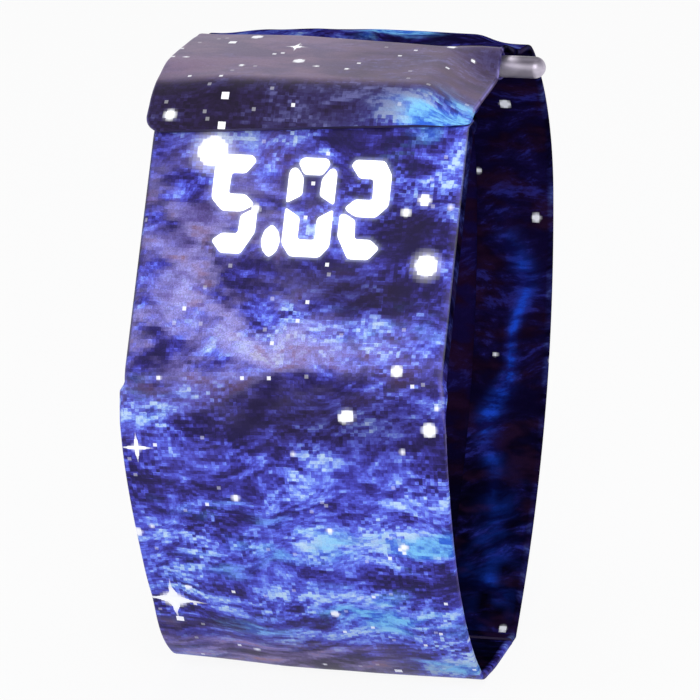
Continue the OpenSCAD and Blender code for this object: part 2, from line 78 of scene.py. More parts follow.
JOIN_Y = 4.0
# Regions round a sleeve's section, in the order of its points
LAP, RIGHT_EDGE, OUTER, LEFT_EDGE, INNER = range(5)
INSIDES = LAP, INNER
SIDES = RIGHT_EDGE, LEFT_EDGE
PRINT_SCALE = 100.0  # millimetres of print to one unit of the UV map
BEFORE_FOLD = 0.01  # the row of points along the crease belongs to the flap
# Material slots of a sleeve
GLOSSY, MATTE, FOLDED_END = range(3)


def heading(a):
    return np.array([math.cos(math.radians(a)), math.sin(math.radians(a))])


def left_of(a):
    return np.array([-math.sin(math.radians(a)), math.cos(math.radians(a))])


def turn(centre, r, a, b, step=4):
    n = max(2, math.ceil(abs(b - a) / step))
    return [centre - r * left_of(a + (b - a) * i / n) for i in range(n + 1)]


def bend(corner, r, a, b):
    back = r * math.tan(math.radians(b - a) / 2)
    return turn(corner - back * heading(a) + r * left_of(a), r, a, b)


def meet(p, a, q, b):
    u, v, w = heading(a), heading(b), q - p
    return p + u * (w[0] * v[1] - w[1] * v[0]) / (u[0] * v[1] - u[1] * v[0])


def stretch(p, a, grip_p, q, b, grip_q, n=40):
    p1, q1 = p + grip_p * heading(a), q - grip_q * heading(b)
    t = np.linspace(0, 1, n)[:, None]
    v = 1 - t
    return list(v**3 * p + 3 * v * v * t * p1 + 3 * v * t * t * q1 + t**3 * q)


PANEL_IN = left_of(PANEL_HEAD)
PANEL_UP = -heading(PANEL_HEAD)
LID_START = ROD - POCKET_OUT * left_of(TOP_HEAD)


def on_face(up, depth=0.0):
    return KINK + up * PANEL_UP + depth * PANEL_IN


def on_lid(along, depth=0.0):
    return LID_START + along * heading(TOP_HEAD) + depth * left_of(TOP_HEAD)


def smooth(t):
    t = np.clip(t, 0, 1)
    return t * t * (3 - 2 * t)


def hump(t):
    """1 at t = 0, falling smoothly to 0 at t = -1 and t = 1."""
    return 1 - smooth(np.abs(t))


_tables = {}


def ripple(u, v, size, seed):
    """Smooth value noise between -1 and 1."""
    if seed not in _tables:
        _tables[seed] = np.random.RandomState(seed).uniform(-1, 1, (64, 64))
    table = _tables[seed]
    a, b = np.asarray(u, float) / size + 17.3, np.asarray(v, float) / size + 9.1
    i, j = np.floor(a).astype(int), np.floor(b).astype(int)
    p, q = a - i, b - j
    p, q = p * p * (3 - 2 * p), q * q * (3 - 2 * q)

    def value(x, y):
        return table[x % 64, y % 64]

    top = value(i, j) * (1 - p) + value(i + 1, j) * p
    low = value(i, j + 1) * (1 - p) + value(i + 1, j + 1) * p
    return top * (1 - q) + low * q


class Line:
    """A strap line in the Y-Z plane: outer points, and the way in from each to the inner face."""

    def __init__(self, outer, depth, start):
        self.o = np.array(outer, float)
        keep = np.r_[True, np.linalg.norm(np.diff(self.o, axis=0), axis=1) > 1e-6]
        self.o = self.o[keep]
        step = np.linalg.norm(np.diff(self.o, axis=0), axis=1)
        self.s = np.r_[0, np.cumsum(step)] + start
        way = np.gradient(self.o, self.s, axis=0)
        way /= np.linalg.norm(way, axis=1)[:, None]
        self.d = np.stack([-way[:, 1], way[:, 0]], 1) * depth

    def at(self, s):
        o = np.stack([np.interp(s, self.s, self.o[:, k]) for k in (0, 1)], -1)
        d = np.stack([np.interp(s, self.s, self.d[:, k]) for k in (0, 1)], -1)
        return o, d

    def find(self, p):
        return self.s[np.argmin(np.linalg.norm(self.o - p, axis=1))]


def dense(points, step=0.15):
    """The same line with its long straight runs filled in."""
    out = [np.array(points[0], float)]
    for p in points[1:]:
        gap = np.linalg.norm(p - out[-1])
        n = max(1, int(gap / step))
        start = out[-1]
        out += [start + (p - start) * (i + 1) / n for i in range(n)]
    return out


# Strap lines
top_corner = meet(LID_START, TOP_HEAD, KINK, PANEL_HEAD)
glue_end = TAIL_RUN + TAIL_GLUE
kink_cut = KINK_R * math.tan(math.radians(LOWER_HEAD - PANEL_HEAD) / 2)
toe_cut = TOE_R * math.tan(math.radians(360 - TOE_HEAD) / 2)
toe = np.array([-BASE_FRONT, 0.0])
belly = stretch(
    KINK + kink_cut * heading(LOWER_HEAD), LOWER_HEAD, 11,
    toe - toe_cut * heading(TOE_HEAD), TOE_HEAD, 13, 120)
tail_corner = on_lid(TAIL_RUN, 2 * FLAT)
reach = tail_corner - ROD
touch = math.atan2(reach[1], reach[0]) + math.acos(POCKET_OUT / np.linalg.norm(reach))
touch_heading = math.degrees(touch) + 90

front_points = (
    [on_lid(glue_end, 2 * FLAT), tail_corner]
    + turn(ROD, POCKET_OUT, touch_heading, TOP_HEAD + 360 * (touch_heading > TOP_HEAD))
    + bend(top_corner, TOP_R, TOP_HEAD, PANEL_HEAD)
    + bend(KINK, KINK_R, PANEL_HEAD, LOWER_HEAD)
    + belly[1:]
    + bend(toe, TOE_R, TOE_HEAD, 360)
    + [np.array([JOIN_Y, 0.0])])
front_line = Line(dense(front_points), FLAT, 0.0)
front_line.s -= front_line.find(KINK)

# The panel is as deep as its module, and slopes to the flat strap at both ends
s_top = front_line.find(on_face(PANEL_TOP))
s_lid = front_line.find(on_lid(glue_end + 1.0))
s_low = front_line.find(belly[int(0.143 * len(belly))])
inner = front_line.o + front_line.d
inner_lid = on_lid(glue_end + 1.0, FLAT)
inner_top, inner_low = on_face(PANEL_TOP, PANEL_T), on_face(0, PANEL_T)
inner_belly = sum(front_line.at(s_low))
for k, s in enumerate(front_line.s):
    if s_lid < s < s_top:
        inner[k] = inner_lid + (inner_top - inner_lid) * (s - s_lid) / (s_top - s_lid)
    elif s_top <= s < 0:
        inner[k] = inner_top + (inner_low - inner_top) * (s - s_top) / -s_top
    elif 0 <= s < s_low:
        inner[k] = inner_low + (inner_belly - inner_low) * s / s_low
front_line.d = inner - front_line.o

rear_start = np.array([BASE_BACK, 0.0])
rear_point = np.array([LOOP_DEPTH / 2, REAR_Z])
crease = np.array([CREASE_Y, CREASE_Z])
s_join = front_line.s[-1]
back_points = (
    [np.array([JOIN_Y, 0.0])]
    + turn(rear_start + np.array([-0.5 * 0.39, 0.5]), 0.5, 360, REAR_HEAD, 6)
    + stretch(rear_start + 0.2 * heading(REAR_HEAD), REAR_HEAD, 16, rear_point, 450, 20, 120)
    + stretch(rear_point, 450, 11, crease, 538, 10, 110)[1:])
flap_lid = [p - (FLAP_FIT + FLAP_T) * left_of(TOP_HEAD) for p in (LID_START, top_corner)]
flap_corner = meet(flap_lid[0], TOP_HEAD, on_face(0, -FLAP_FIT - FLAP_T), PANEL_HEAD)
flap_end = np.linalg.norm(top_corner - KINK) - FLAP_DROP
flap_points = (
    bend(flap_corner, TOP_R + FLAP_FIT + FLAP_T, TOP_HEAD, PANEL_HEAD)
    + [on_face(flap_end - 2, -FLAP_FIT - FLAP_T)])
loop_line = Line(dense(back_points + [flap_lid[0]] + flap_points), FLAT, s_join)
s_crease = loop_line.find(crease)
s_split = s_crease - 13.0
s_rod_top = loop_line.find(flap_lid[0])
s_flap_end = loop_line.find(on_face(flap_end, -FLAP_FIT - FLAP_T))
flap_deep = smooth((loop_line.s - s_crease + 4) / 4)
loop_line.d *= (1 + (FLAP_T / FLAT - 1) * flap_deep)[:, None]


def linked(name, data):
    """A new object in the scene."""
    obj = bpy.data.objects.new(name, data)
    bpy.context.scene.collection.objects.link(obj)
    return obj


# Strap meshes
def ring(n_lap, n_edge, n_out, n_in):
    """Places round a folded sleeve, from the lap's end and back: region, and share of the way."""
    counts = (LAP, n_lap), (RIGHT_EDGE, n_edge), (OUTER, n_out), (LEFT_EDGE, n_edge)
    spots = [(region, k / n) for region, n in counts for k in range(n)]
    spots += [(INNER, k / n_in) for k in range(n_in + 1)]
    return np.array(spots)


def edge_spot(t, r, deep):
    """Place on the rounded long edge as t goes from 0 to 1: how far in from the edge, how deep."""
    side = max(deep - 2 * r, 0.0)
    arc = math.pi / 2 * r
    d = t * (2 * arc + side)
    if d < arc:
        a = d / r
        return r * (1 - math.sin(a)), r * (1 - math.cos(a))
    if d < arc + side:
        return 0.0, r + d - arc
    a = (d - arc - side) / r
    return r * (1 - math.cos(a)), deep - r + r * math.sin(a)


def section(spots, w0, w1, deep, radii, lap):
    """One ring of points: places across, depths, places on the print, ways round the edges."""
    region, t = spots[:, 0].astype(int), spots[:, 1]
    r0, r1 = (min(r, 0.499 * deep) for r in radii)
    rim0, rim1 = (math.pi * r + max(deep - 2 * r, 0.0) for r in (r0, r1))
    x, depth, u, over = (np.zeros(len(spots)) for _ in range(4))
    m = region == LAP
    x[m] = LAP_FROM + (w1 - r1 - LAP_FROM) * t[m]
    depth[m] = deep + lap
    u[m] = 2 * (w1 - r1) + rim1 - x[m]
    m = region == OUTER
    x[m] = w1 - r1 + (w0 - w1 + r0 + r1) * t[m]
    u[m] = x[m]
    m = region == INNER
    x[m] = w0 + r0 + (LAP_FROM - w0 - r0) * t[m]
    depth[m] = deep
    u[m] = 2 * (w0 + r0) - rim0 - x[m]
    for side, w, sign, r, rim in ((RIGHT_EDGE, w1, -1, r1, rim1), (LEFT_EDGE, w0, 1, r0, rim0)):
        for k in np.nonzero(region == side)[0]:
            share = 1 - t[k] if side == RIGHT_EDGE else t[k]
            inset, dep = edge_spot(share, r, deep)
            x[k] = w + sign * inset
            depth[k] = dep + (lap * smooth(share) if side == RIGHT_EDGE else 0)
            u[k] = w + sign * (r - share * rim)
            over[k] = share * rim
    return x, depth, u, over


def ring_mesh(name, points):
    """A closed smooth mesh through rings of points, with a flat face at each end."""
    n, count = points.shape[:2]
    index = np.arange(n * count).reshape(n, count)
    a, b = index[:-1], index[1:]
    quads = np.stack([a, np.roll(a, -1, 1), np.roll(b, -1, 1), b], -1).reshape(-1, 4)
    faces = [tuple(q) for q in quads] + [tuple(index[0][::-1]), tuple(index[-1])]
    mesh = bpy.data.meshes.new(name)
    mesh.from_pydata((points.reshape(-1, 3) * MM).tolist(), [], faces)
    mesh.polygons.foreach_set("use_smooth", [True] * len(quads) + [False, False])
    mesh.update()
    mesh.set_sharp_from_angle(angle=math.radians(38))
    return mesh


def sleeve(name, line, stations, left, right, radii, lap, spots, relief, shape, slant=None):
    """One folded sleeve as a closed mesh, with its points' places on the print in millimetres.

    left, right and lap give the edges' places and the lap's height at a station. relief lifts
    points off the paper's plane, and shape moves them. slant moves a row of points along the line.
    """
    region, t = spots[:, 0].astype(int), spots[:, 1]
    count, n = len(spots), len(stations)
    rings = []
    for s in stations:
        deep = np.linalg.norm(line.at(s)[1])
        rings.append(section(spots, left(s), right(s), deep, radii, max(lap(s), LAP_LEAST)))
    x, depth, u, over = (np.array(part) for part in zip(*rings))
    s = np.repeat(stations, count).reshape(n, count)
    s = s + (slant(x, s) if slant else 0)
    o, d = line.at(s)
    way = d / np.linalg.norm(d, axis=-1)[..., None]
    outward = np.where(np.isin(region, INSIDES), 1.0, -1.0)
    outward = outward * np.where(np.isin(region, SIDES), 0.3, 1.0)
    lift = relief(x, s, np.tile(region, (n, 1))) * outward
    yz = o + way * (depth + lift)[..., None]
    p = np.stack([x, yz[..., 0], yz[..., 1]], -1)
    p = p + shape(p, s)
    p[..., 2] = np.maximum(p[..., 2], 0)
    mesh = ring_mesh(name, p)
    loops = np.zeros(len(mesh.loops), int)
    mesh.loops.foreach_get("vertex_index", loops)
    on_print = np.stack([u.reshape(-1), s.reshape(-1)], 1) / PRINT_SCALE
    mesh.uv_layers.new(name="print").data.foreach_set("uv", on_print[loops].ravel())
    obj = linked(name, mesh)
    around = np.tile(region, n - 1)
    far = np.tile(np.where(region == RIGHT_EDGE, 1 - t, t), n - 1)
    inner_side = np.isin(around, INSIDES) | np.isin(around, SIDES) & (far > 0.3)
    s_face, x_face = s[:-1].reshape(-1), x[:-1].reshape(-1)
    matte = inner_side | (s_face > s_join) & (s_face < fold_at(x_face) - BEFORE_FOLD)
    slots = np.r_[np.where(matte, MATTE, GLOSSY), FOLDED_END, FOLDED_END]
    mesh.polygons.foreach_set("material_index", slots.astype(np.int32))
    return SimpleNamespace(
        obj=obj, u=u.reshape(-1), v=s.reshape(-1), region=np.tile(region, n), x=x.reshape(-1),
        over=over.reshape(-1))


def paint(obj, name, values):
    """A number at every point of the mesh, which the print's material reads."""
    attribute = obj.data.attributes.new(name, "FLOAT", "POINT")
    attribute.data.foreach_set("value", np.asarray(values, np.float32))


def blob(u, v, cu, cv, ru, rv, tilt=0.0):
    """A soft oval patch: 1 in its middle, fading by its two radii."""
    a = math.radians(tilt)
    p = (u - cu) * math.cos(a) + (v - cv) * math.sin(a)
    q = -(u - cu) * math.sin(a) + (v - cv) * math.cos(a)
    return np.exp(-((p / ru) ** 2) - (q / rv) ** 2)


# Digits, in the panel's frame (across, up): bars that partly run together, as light spreads
DIGIT_MID, PANEL_X = 17.3, 0.2
HW, HH = 2.52, 5.2  # half a digit's width and height
FIVE = [
    [(-HW, HH - 1.45), (-HW + 0.85, HH), (HW - 1.15, HH), (HW - 0.7, HH - 0.6),
     (HW - 1.7, HH - 1.95), (-HW + 1.85, HH - 1.95), (-HW + 1.75, 1.05), (HW - 1.5, 1.05),
     (HW - 0.5, 0.12), (HW - 0.78, -0.24), (HW - 1.75, -0.78), (-HW + 1.25, -0.78), (-HW, 0.5)],
    [(HW - 0.62, -0.5), (HW - 0.06, -0.6), (HW - 0.06, -HH + 2.3), (HW - 1.35, -HH),
     (-HW + 1.55, -HH), (-HW + 0.5, -HH + 1.25), (-HW + 1.5, -HH + 2.1), (HW - 1.85, -HH + 2.1),
     (HW - 1.75, -1.15)]]
NOUGHT = [
    [(-1.25, HH), (1.35, HH), (1.72, HH - 0.6), (1.0, HH - 1.8), (-0.95, HH - 1.8),
     (-1.65, HH - 0.6)],
    [(-HW, HH - 1.6), (-HW + 0.3, HH - 1.15), (-1.72, HH - 1.1), (-0.95, HH - 2.1), (-0.9, 1.25),
     (-HW, 0.32)],
    [(HW, HH - 1.5), (HW - 0.3, HH - 1.05), (1.8, HH - 1.05), (0.98, HH - 2.15), (0.9, 1.25),
     (HW, 0.32)],
    [(-HW, -0.12), (-0.9, -1.1), (-0.9, -HH + 1.8), (0.9, -HH + 1.8), (0.9, -1.1), (HW, -0.12),
     (HW, -HH + 1.2), (HW - 0.95, -HH), (-HW + 0.95, -HH), (-HW, -HH + 1.3)]]
POINT = [
    (0, -1.75), (-0.75, -1.05), (-1.0, 0), (-0.75, 1.05), (0, 1.75), (0.75, 1.05), (1.0, 0),
    (0.75, -1.05)]
TWO = [[(-x, y) for x, y in bar] for bar in FIVE]
# Place across and up from the display's middle, and bars
SHOWN = [(-6.8, 0.0, FIVE), (1.1, 0.0, NOUGHT), (6.8, 0.0, TWO), (-2.6, -3.7, [POINT])]


def lit_outlines():
    """Outline of every lit patch, as points across and up the panel."""
    return [
        [(PANEL_X + cx + x, DIGIT_MID + cy + y) for x, y in bar]
        for cx, cy, bars in SHOWN for bar in bars]


def nearest(px, py, outlines):
    """Distance from points to the nearest outline, 0 inside."""
    best = np.full(px.shape, 1e9)
    for pts in outlines:
        inside = np.zeros(px.shape, bool)
        near = np.full(px.shape, 1e9)
        q = np.array(pts)
        for a, b in zip(q, np.roll(q, -1, 0)):
            e = b - a
            t = np.clip(((px - a[0]) * e[0] + (py - a[1]) * e[1]) / (e @ e), 0, 1)
            near = np.minimum(near, np.hypot(px - a[0] - t * e[0], py - a[1] - t * e[1]))
            if e[1]:
                inside ^= ((a[1] > py) != (b[1] > py)) & (px < a[0] + (py - a[1]) * e[0] / e[1])
        best = np.minimum(best, np.where(inside, 0, near))
    return best


# Shape of the real, slightly crumpled strap: small moves of the plain sleeves, in millimetres
TOP_FROM, TOP_RUN = 60.9, 3.4  # height at which the top's moves begin, and over which they grow


def droop(x, y):
    """How far the free paper hangs at the right end of the top, in front of the rod."""
    return 2.25 * smooth((x - 11.2) / 5.8) * smooth((3.4 - y) / 3.0)


def soft_corner(x, y, z):
    """How far the top's front corner is pressed in at its left end."""
    return 1.15 * smooth((-8.5 - x) / 8.5) * hump(np.hypot(y + 11.6, z - 64.2) / 6.0)


def bend_top(move, p, hanging, dented):
    """Adds the moves that the top's two ends share, on the front and on the flap above it."""
    x, y, z = p[..., 0], p[..., 1], p[..., 2]
    move[..., 2] -= droop(x, y) * hanging
    dent = 0.75 * soft_corner(x, y, z) * dented
    move[..., 1] += dent
    move[..., 2] -= dent


def front_shape(p, s):
    """Moves of the front sleeve's points."""
    x, y, z = p[..., 0], p[..., 1], p[..., 2]
    move = np.zeros_like(p)
    # the fold under the panel runs a little askew
    near = np.where(s < 0, smooth(1 + s / 9), smooth(1 - s / 24))
    skew = 0.052 * x * near
    move[..., 1:] += skew[..., None] * PANEL_UP
    # the toe curls up off the ground, most at the left edge
    toe_up = smooth((-3.0 - y) / 6) * smooth((14 - z) / 9)
    left = smooth((-4 - x) / 13)
    move[..., 2] += toe_up * (0.4 + 0.75 * left)
    move[..., 1] += 0.9 * left * hump((z - 12) / 18)
    outer_left = smooth((-6 - x) / 11) * smooth((-y - 1) / 4)
    move[..., 1] -= 1.1 * outer_left * hump((z - 4.0) / 6.5)
    move[..., 2] -= 0.25 * outer_left * smooth((6 - z) / 5)
    # the tail under the lid hangs a little less than the lid
    above = s < -20
    lid_share = np.where(s < -51, 0.8, 1.0)
    hanging = np.where(s < s_lid, lid_share, smooth((z - TOP_FROM) / TOP_RUN))
    bend_top(move, p, hanging * above, above)
    return move


def front_relief(x, s, region):
    """How far the front's paper stands out of its plane."""
    outer = region == OUTER
    panel = smooth((s + 27.5) / 2) * smooth((-s) / 2)
    flat = smooth(s / 4)
    r = 0.05 * ripple(x, s, 9, 1) + 0.025 * ripple(x, s, 3.5, 2)
    r = r * (flat + 0.35 * panel)
    # soft pillow on the lower strap, and shallow dents beside the fold
    r = r + flat * 0.10 * hump(x / 17.5) * outer
    r = r - 0.10 * hump((s - 1.6) / 2.2) * (0.6 + 0.4 * ripple(x, s, 6, 3)) * outer
    return r


def loop_shape(p, s):
    """Moves of the points of the back, the flap and its strip."""
    x, z = p[..., 0], p[..., 2]
    move = np.zeros_like(p)
    behind = s - s_crease
    # the crease runs askew, further back at the left
    move[..., 1] += (-0.6 - 0.09 * x) * hump(behind / 11)
    # it dips, the shoulder behind it bulges towards the right, and its corners are bent down
    move[..., 2] -= 0.38 * hump((behind + 3) / 9) * (1 - smooth((x + 10) / 6))
    move[..., 2] -= 0.50 * hump((s - fold_at(x)) / 2.4) * (1 - 0.9 * smooth((x - 9) / 6))
    bulge = smooth((x + 4) / 7) * (1 - smooth((x - 12.2) / 2.6))
    move[..., 2] += 0.30 * hump((behind + 4.2) / 4.6) * bulge
    move[..., 2] -= 0.9 * smooth((-9.5 - x) / 6.5) * hump((behind + 4.6) / 9.4)
    move[..., 2] -= 1.05 * smooth((x - 12.6) / 4.4) * hump((behind + 4.2) / 6.2)
    move[..., 2] += 0.35 * smooth((x - 12) / 5) * hump((behind + 11) / 6)
    # the flap's two ends
    on_flap = smooth((behind - 1) / 2)
    move[..., 2] -= 0.35 * smooth((-7 - x) / 9) * on_flap * hump((behind - 3) / 9)
    bend_top(move, p, smooth((z - TOP_FROM) / TOP_RUN) * on_flap, on_flap)
    return move


def fold_at(x):
    """Where the crease of the flap lies along the strap."""
    return s_crease + 0.06 * (x + HALF)


def loop_relief(x, s, region):
    """How far the paper of the back and the flap stands out of its plane."""
    outer = region == OUTER
    r = 0.06 * ripple(x, s, 10, 4) + 0.03 * ripple(x, s, 4, 5)
    r = r * smooth((s - s_join - 4) / 5)
    flap = smooth((s - s_crease) / 3)
    pillow = hump((s - s_rod_top - 5) / 9) * hump(x / HALF)
    r = r * (1 - 0.4 * flap) + 0.10 * flap * outer * pillow
    groove = np.exp(-(((s - fold_at(x)) / 0.4) ** 2))
    # a curled crease in the flap's corner, and faint ones beside it
    corner_gap = np.hypot(x - 14.2, s - s_flap_end + 3.4)
    curl = np.exp(-(((corner_gap - 1.5) / 0.32) ** 2))
    curl = curl - 0.5 * np.exp(-(((corner_gap - 2.3) / 0.4) ** 2))
    return r + outer * (0.10 * curl - 0.12 * groove)


def stations(a, b, step):
    return np.linspace(a, b, int(abs(b - a) / step) + 2)


def front_half(s, panel, strap):
    """Edge of the front sleeve: the panel's, flaring to the strap's just below the fold."""
    up = smooth((s + 27.6) / 1.2)
    down = smooth((s - 0.8) / 1.3)
    return strap + (panel - strap) * up * (1 - down)


def tucked(s):
    """The strap end under the flap is cut back a little at its right, its glued tail more."""
    cut = 0.6 * smooth((-29 - s) / 1.5) + 1.4 * smooth((-50 - s) / 1.0)
    return front_half(s, PANEL_RIGHT, HALF) - cut


def always(value):
    return lambda s: value


def front_lap(s):
    """The glued lap fades out at the panel and before the fold of the strap."""
    return SHEET * float(smooth((s - s_low + 1) / 1.5)) * float(smooth((s_join - s) / 1.0))


front = sleeve(
    "strap_front", front_line, stations(front_line.s[0], front_line.s[-1], 0.36),
    lambda s: front_half(s, PANEL_LEFT, -HALF), tucked, EDGES, front_lap,
    ring(18, 8, 100, 44), front_relief, front_shape)
front_obj = front.obj
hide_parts("front_sleeve")
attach(front_obj, "front")

rear = sleeve(
    "strap_rear", loop_line, stations(s_join - 0.35, s_split + 0.6, 0.42),
    always(-HALF), always(HALF), EDGES, always(SHEET),
    ring(18, 6, 70, 50), loop_relief, loop_shape)
rear_obj = rear.obj
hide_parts("rear_sleeve")


def corner(s, radius, end):
    """How much a rounded corner narrows the flap near its end."""
    gap = max(0.0, radius - max(0.0, end - s))
    return radius - math.sqrt(max(0.0, radius * radius - gap * gap))


def flap_slant(x, s):
    """One row of the mesh runs along the crease, and the flap's end is askew."""
    at_crease = (fold_at(x) - s_crease) * hump((s - s_crease) / 9)
    return at_crease - x * math.tan(math.radians(FLAP_SLANT)) * smooth((s - s_rod_top) / 12)


def flap_left(s):
    return -FLAP_HALF + corner(s, 2.0, s_flap_end + 0.05)


def flap_right(s):
    return FLAP_HALF - corner(s, 3.0, s_flap_end + 0.05)


FLAP_HALF = HALF + 0.015  # a hair wider than the strap, so that their faces never share a plane
ROUND_RUN = 3.2  # the flap's corners are round over this length, and its stations closer
round_steps = ROUND_RUN * np.sin(np.linspace(0.06, 1, 20) * math.pi / 2)
flap_steps = np.r_[
    stations(s_split, s_crease, 0.36), stations(s_crease, s_flap_end - ROUND_RUN, 0.36)[1:],
    s_flap_end - ROUND_RUN + round_steps]
flap = sleeve(
    "strap_flap", loop_line, flap_steps, flap_left, flap_right, EDGES,
    lambda s: SHEET * float(smooth((s_crease - 1 - s) / 2.5)),
    ring(18, 6, 96, 50), loop_relief, loop_shape, slant=flap_slant)
flap_obj = flap.obj
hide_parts("flap_sleeve")

# The steel strip between the flap's two sheets is bent with them
STRIP_AT, STRIP_T, STRIP_HALF = 0.28, 0.2, 14.0
strip_line = Line(loop_line.o + loop_line.d * STRIP_AT / FLAP_T, 1.0, s_join)
strip_line.s = loop_line.s.copy()
strip_line.d = loop_line.d * STRIP_T / FLAP_T
strip_obj = sleeve(
    "steel_strip", strip_line, stations(s_rod_top + 1, s_rod_top + 8, 0.5),
    always(-STRIP_HALF), always(STRIP_HALF), SHARP_EDGES, always(0.0),
    ring(6, 2, 30, 24), loop_relief, loop_shape).obj
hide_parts("flap_strip")
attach(strip_obj, "flap")


# Lit patches of the panel: slightly rounded bars that stand a hair proud of the paper
def rounded(q, radius):
    """The outline q with its corners rounded by short curves."""
    out = []
    for i, here in enumerate(q):
        legs = []
        for other in (q[i - 1], q[(i + 1) % len(q)]):
            length = np.linalg.norm(other - here)
            legs.append(here + (other - here) / length * min(radius, 0.45 * length))
        for t in (0, 0.33, 0.67, 1):
            out.append((1 - t) ** 2 * legs[0] + 2 * t * (1 - t) * here + t * t * legs[1])
    return np.array(out)


def lit_mesh():
    """One mesh of all lit patches: three rings of points each, joined and closed at both ends."""
    verts, faces = [], []
    for pts in lit_outlines():
        rim = rounded(np.array(pts), 0.34)
        along = np.roll(rim, -1, 0) - np.roll(rim, 1, 0)
        aside = np.stack([-along[:, 1], along[:, 0]], 1)
        aside /= np.linalg.norm(along, axis=1)[:, None]
        ahead = np.roll(rim, -1, 0)
        area = np.sum(rim[:, 0] * ahead[:, 1] - ahead[:, 0] * rim[:, 1])
        m = len(rim)
        base = len(verts)
        for inset, depth in ((0.0, 0.2), (0.0, -0.02), (0.04, -0.035)):
            for v in rim + inset * math.copysign(1, area) * aside:
                face = on_face(v[1], depth)
                verts.append((v[0] * MM, face[0] * MM, face[1] * MM))
        order = 1 if area > 0 else -1
        for k in range(2):
            for i in range(m):
                a, b = base + k * m + i, base + k * m + (i + 1) % m
                faces.append((a, b, b + m, a + m)[::order])
        faces.append(tuple(base + 2 * m + i for i in range(m))[::order])
        faces.append(tuple(base + i for i in range(m))[::-order])
    mesh = bpy.data.meshes.new("shining_digits")
    mesh.from_pydata(verts, [], faces)
    mesh.update()
    return linked("shining_digits", mesh)


lit_obj = lit_mesh()
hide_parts("lit_digits")
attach(lit_obj, "front")

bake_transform(rear_obj)
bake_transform(flap_obj)

# Large parts of the print, painted on the meshes; first the digits' glow, light painted round them
# on the panel
on_panel = (front.region == OUTER) & (front.v < 0) & (front.v > -26)
glow_gap = np.where(on_panel, nearest(front.x, -front.v, lit_outlines()), 9.0)
paint(front_obj, "glow", np.exp(-glow_gap / 0.13))
paint(rear_obj, "glow", rear.u * 0)
paint(flap_obj, "glow", flap.u * 0)

# Soft patches of the print: strength, place across and along, radii, and tilt in degrees
HAZE = [(0.9, -10, -11, 10, 12, 12), (0.8, -3, -3, 15, 4.0, 5)]
CYAN_ABOVE = [(0.45, 13, -25.5, 5, 2.4, -20), (0.35, 10, -4.5, 7, 2)]
CYAN = [
    (1.1, 4.2, s_crease - 3.0, 4.6, 3.2), (0.25, -13, 3, 4, 3), (0.75, 9, 30, 9, 3.5, 14),
    (0.9, 15.5, 19.5, 4.5, 2.4, -8), (0.6, 3, 20, 9, 2.0, -8), (0.45, -7, 34, 9, 2.5, 10),
    (0.35, -11, 25, 6, 3, -20), (1.1, 14.5, 39.6, 4.5, 1.9, 4), (0.3, -8, 16, 9, 2.5, 12)]
LIGHT = [
    (0.5, -13, -19, 6, 6), (0.25, -9, -7, 8, 5), (-0.55, 12, -17, 5, 6), (-0.5, 12, -7, 6, 4),
    (-0.35, -8, 5, 8, 3.5), (0.35, 3, 14, 7, 5), (0.75, 12.5, 14, 6, 6), (0.32, 0, 27, 17, 8),
    (-0.9, 9, 24.4, 10, 1.3, -5), (-0.7, -9, 33.5, 8, 1.8, -8)]
# The same for dark plum, with the stretch of the strap that it is kept to: a painted shadow under
# the flap's lower edge, two darker patches on the panel's right, and a darker band just below the
# fold
ABOVE_FOLD, BELOW_FOLD = (-np.inf, 0), (0, 20)
PLUM_AND_SHADOW = [
    (ABOVE_FOLD, 0.55, -10, -26, 12, 2.2), (ABOVE_FOLD, 0.85, 7, -8.8, 8, 2.4, 4),
    (ABOVE_FOLD, 0.6, 12, -16, 4, 3), (BELOW_FOLD, 0.75, 5, 5.0, 13, 3.4, 6)]


def patches(u, v, rows):
    return sum(strength * blob(u, v, *place) for strength, *place in rows)


def dark_and_shade_share(part, fold):
    """Where the print is made dark: inner faces, the strap behind the crease and the rear strap's
    edges, and painted shade on the panel's rounded sides.
    """
    v, region, over = part.v, part.region, part.over
    behind = smooth((v - s_join + 4) / 10) * (1 - smooth((v - fold) / 0.6))
    dark_print_and_shade = np.isin(region, INSIDES) * 1.0
    dark_print_and_shade = np.maximum(dark_print_and_shade, behind * (0.35 + 0.65 * smooth((v - s_crease + 26) / 14)))
    # painted shade on the far part of the panel's rounded sides, which turn away from the light
    far_round = smooth((over - np.where(region == LEFT_EDGE, 0.85, 0.5)) / 0.35)
    side = smooth(-v / 2) * smooth((v + 34) / 4) * far_round
    dark_print_and_shade = np.maximum(dark_print_and_shade, 0.95 * side)
    rear_edge = np.isin(region, SIDES) * smooth((v - s_join + 4) / 6) * (v < s_crease)
    dark_print_and_shade = np.maximum(dark_print_and_shade, 0.9 * rear_edge)
    return dark_print_and_shade - 0.38 * smooth((v - s_crease + 9) / 3) * (region == OUTER) * (v < fold)


def inner_wisps(x, v):
    """Blue wisps down the inner face of the back, and a cloud near the bottom."""
    wisp_x = 12.4 + 1.3 * np.sin(v / 5.0 + 1) + 0.5 * np.sin(v / 1.7)
    wisp_wide = 0.9 + 0.4 * np.sin(v / 3.1)
    wisp = np.exp(-(((x - wisp_x) / wisp_wide) ** 2)) * hump((v - s_join - 34) / 22)
    cloud = blob(x, v, 13, s_join + 9, 2.6, 9) * (0.6 + 0.7 * ripple(x, v, 1.7, 6))
    return 0.8 * wisp + 0.45 * cloud


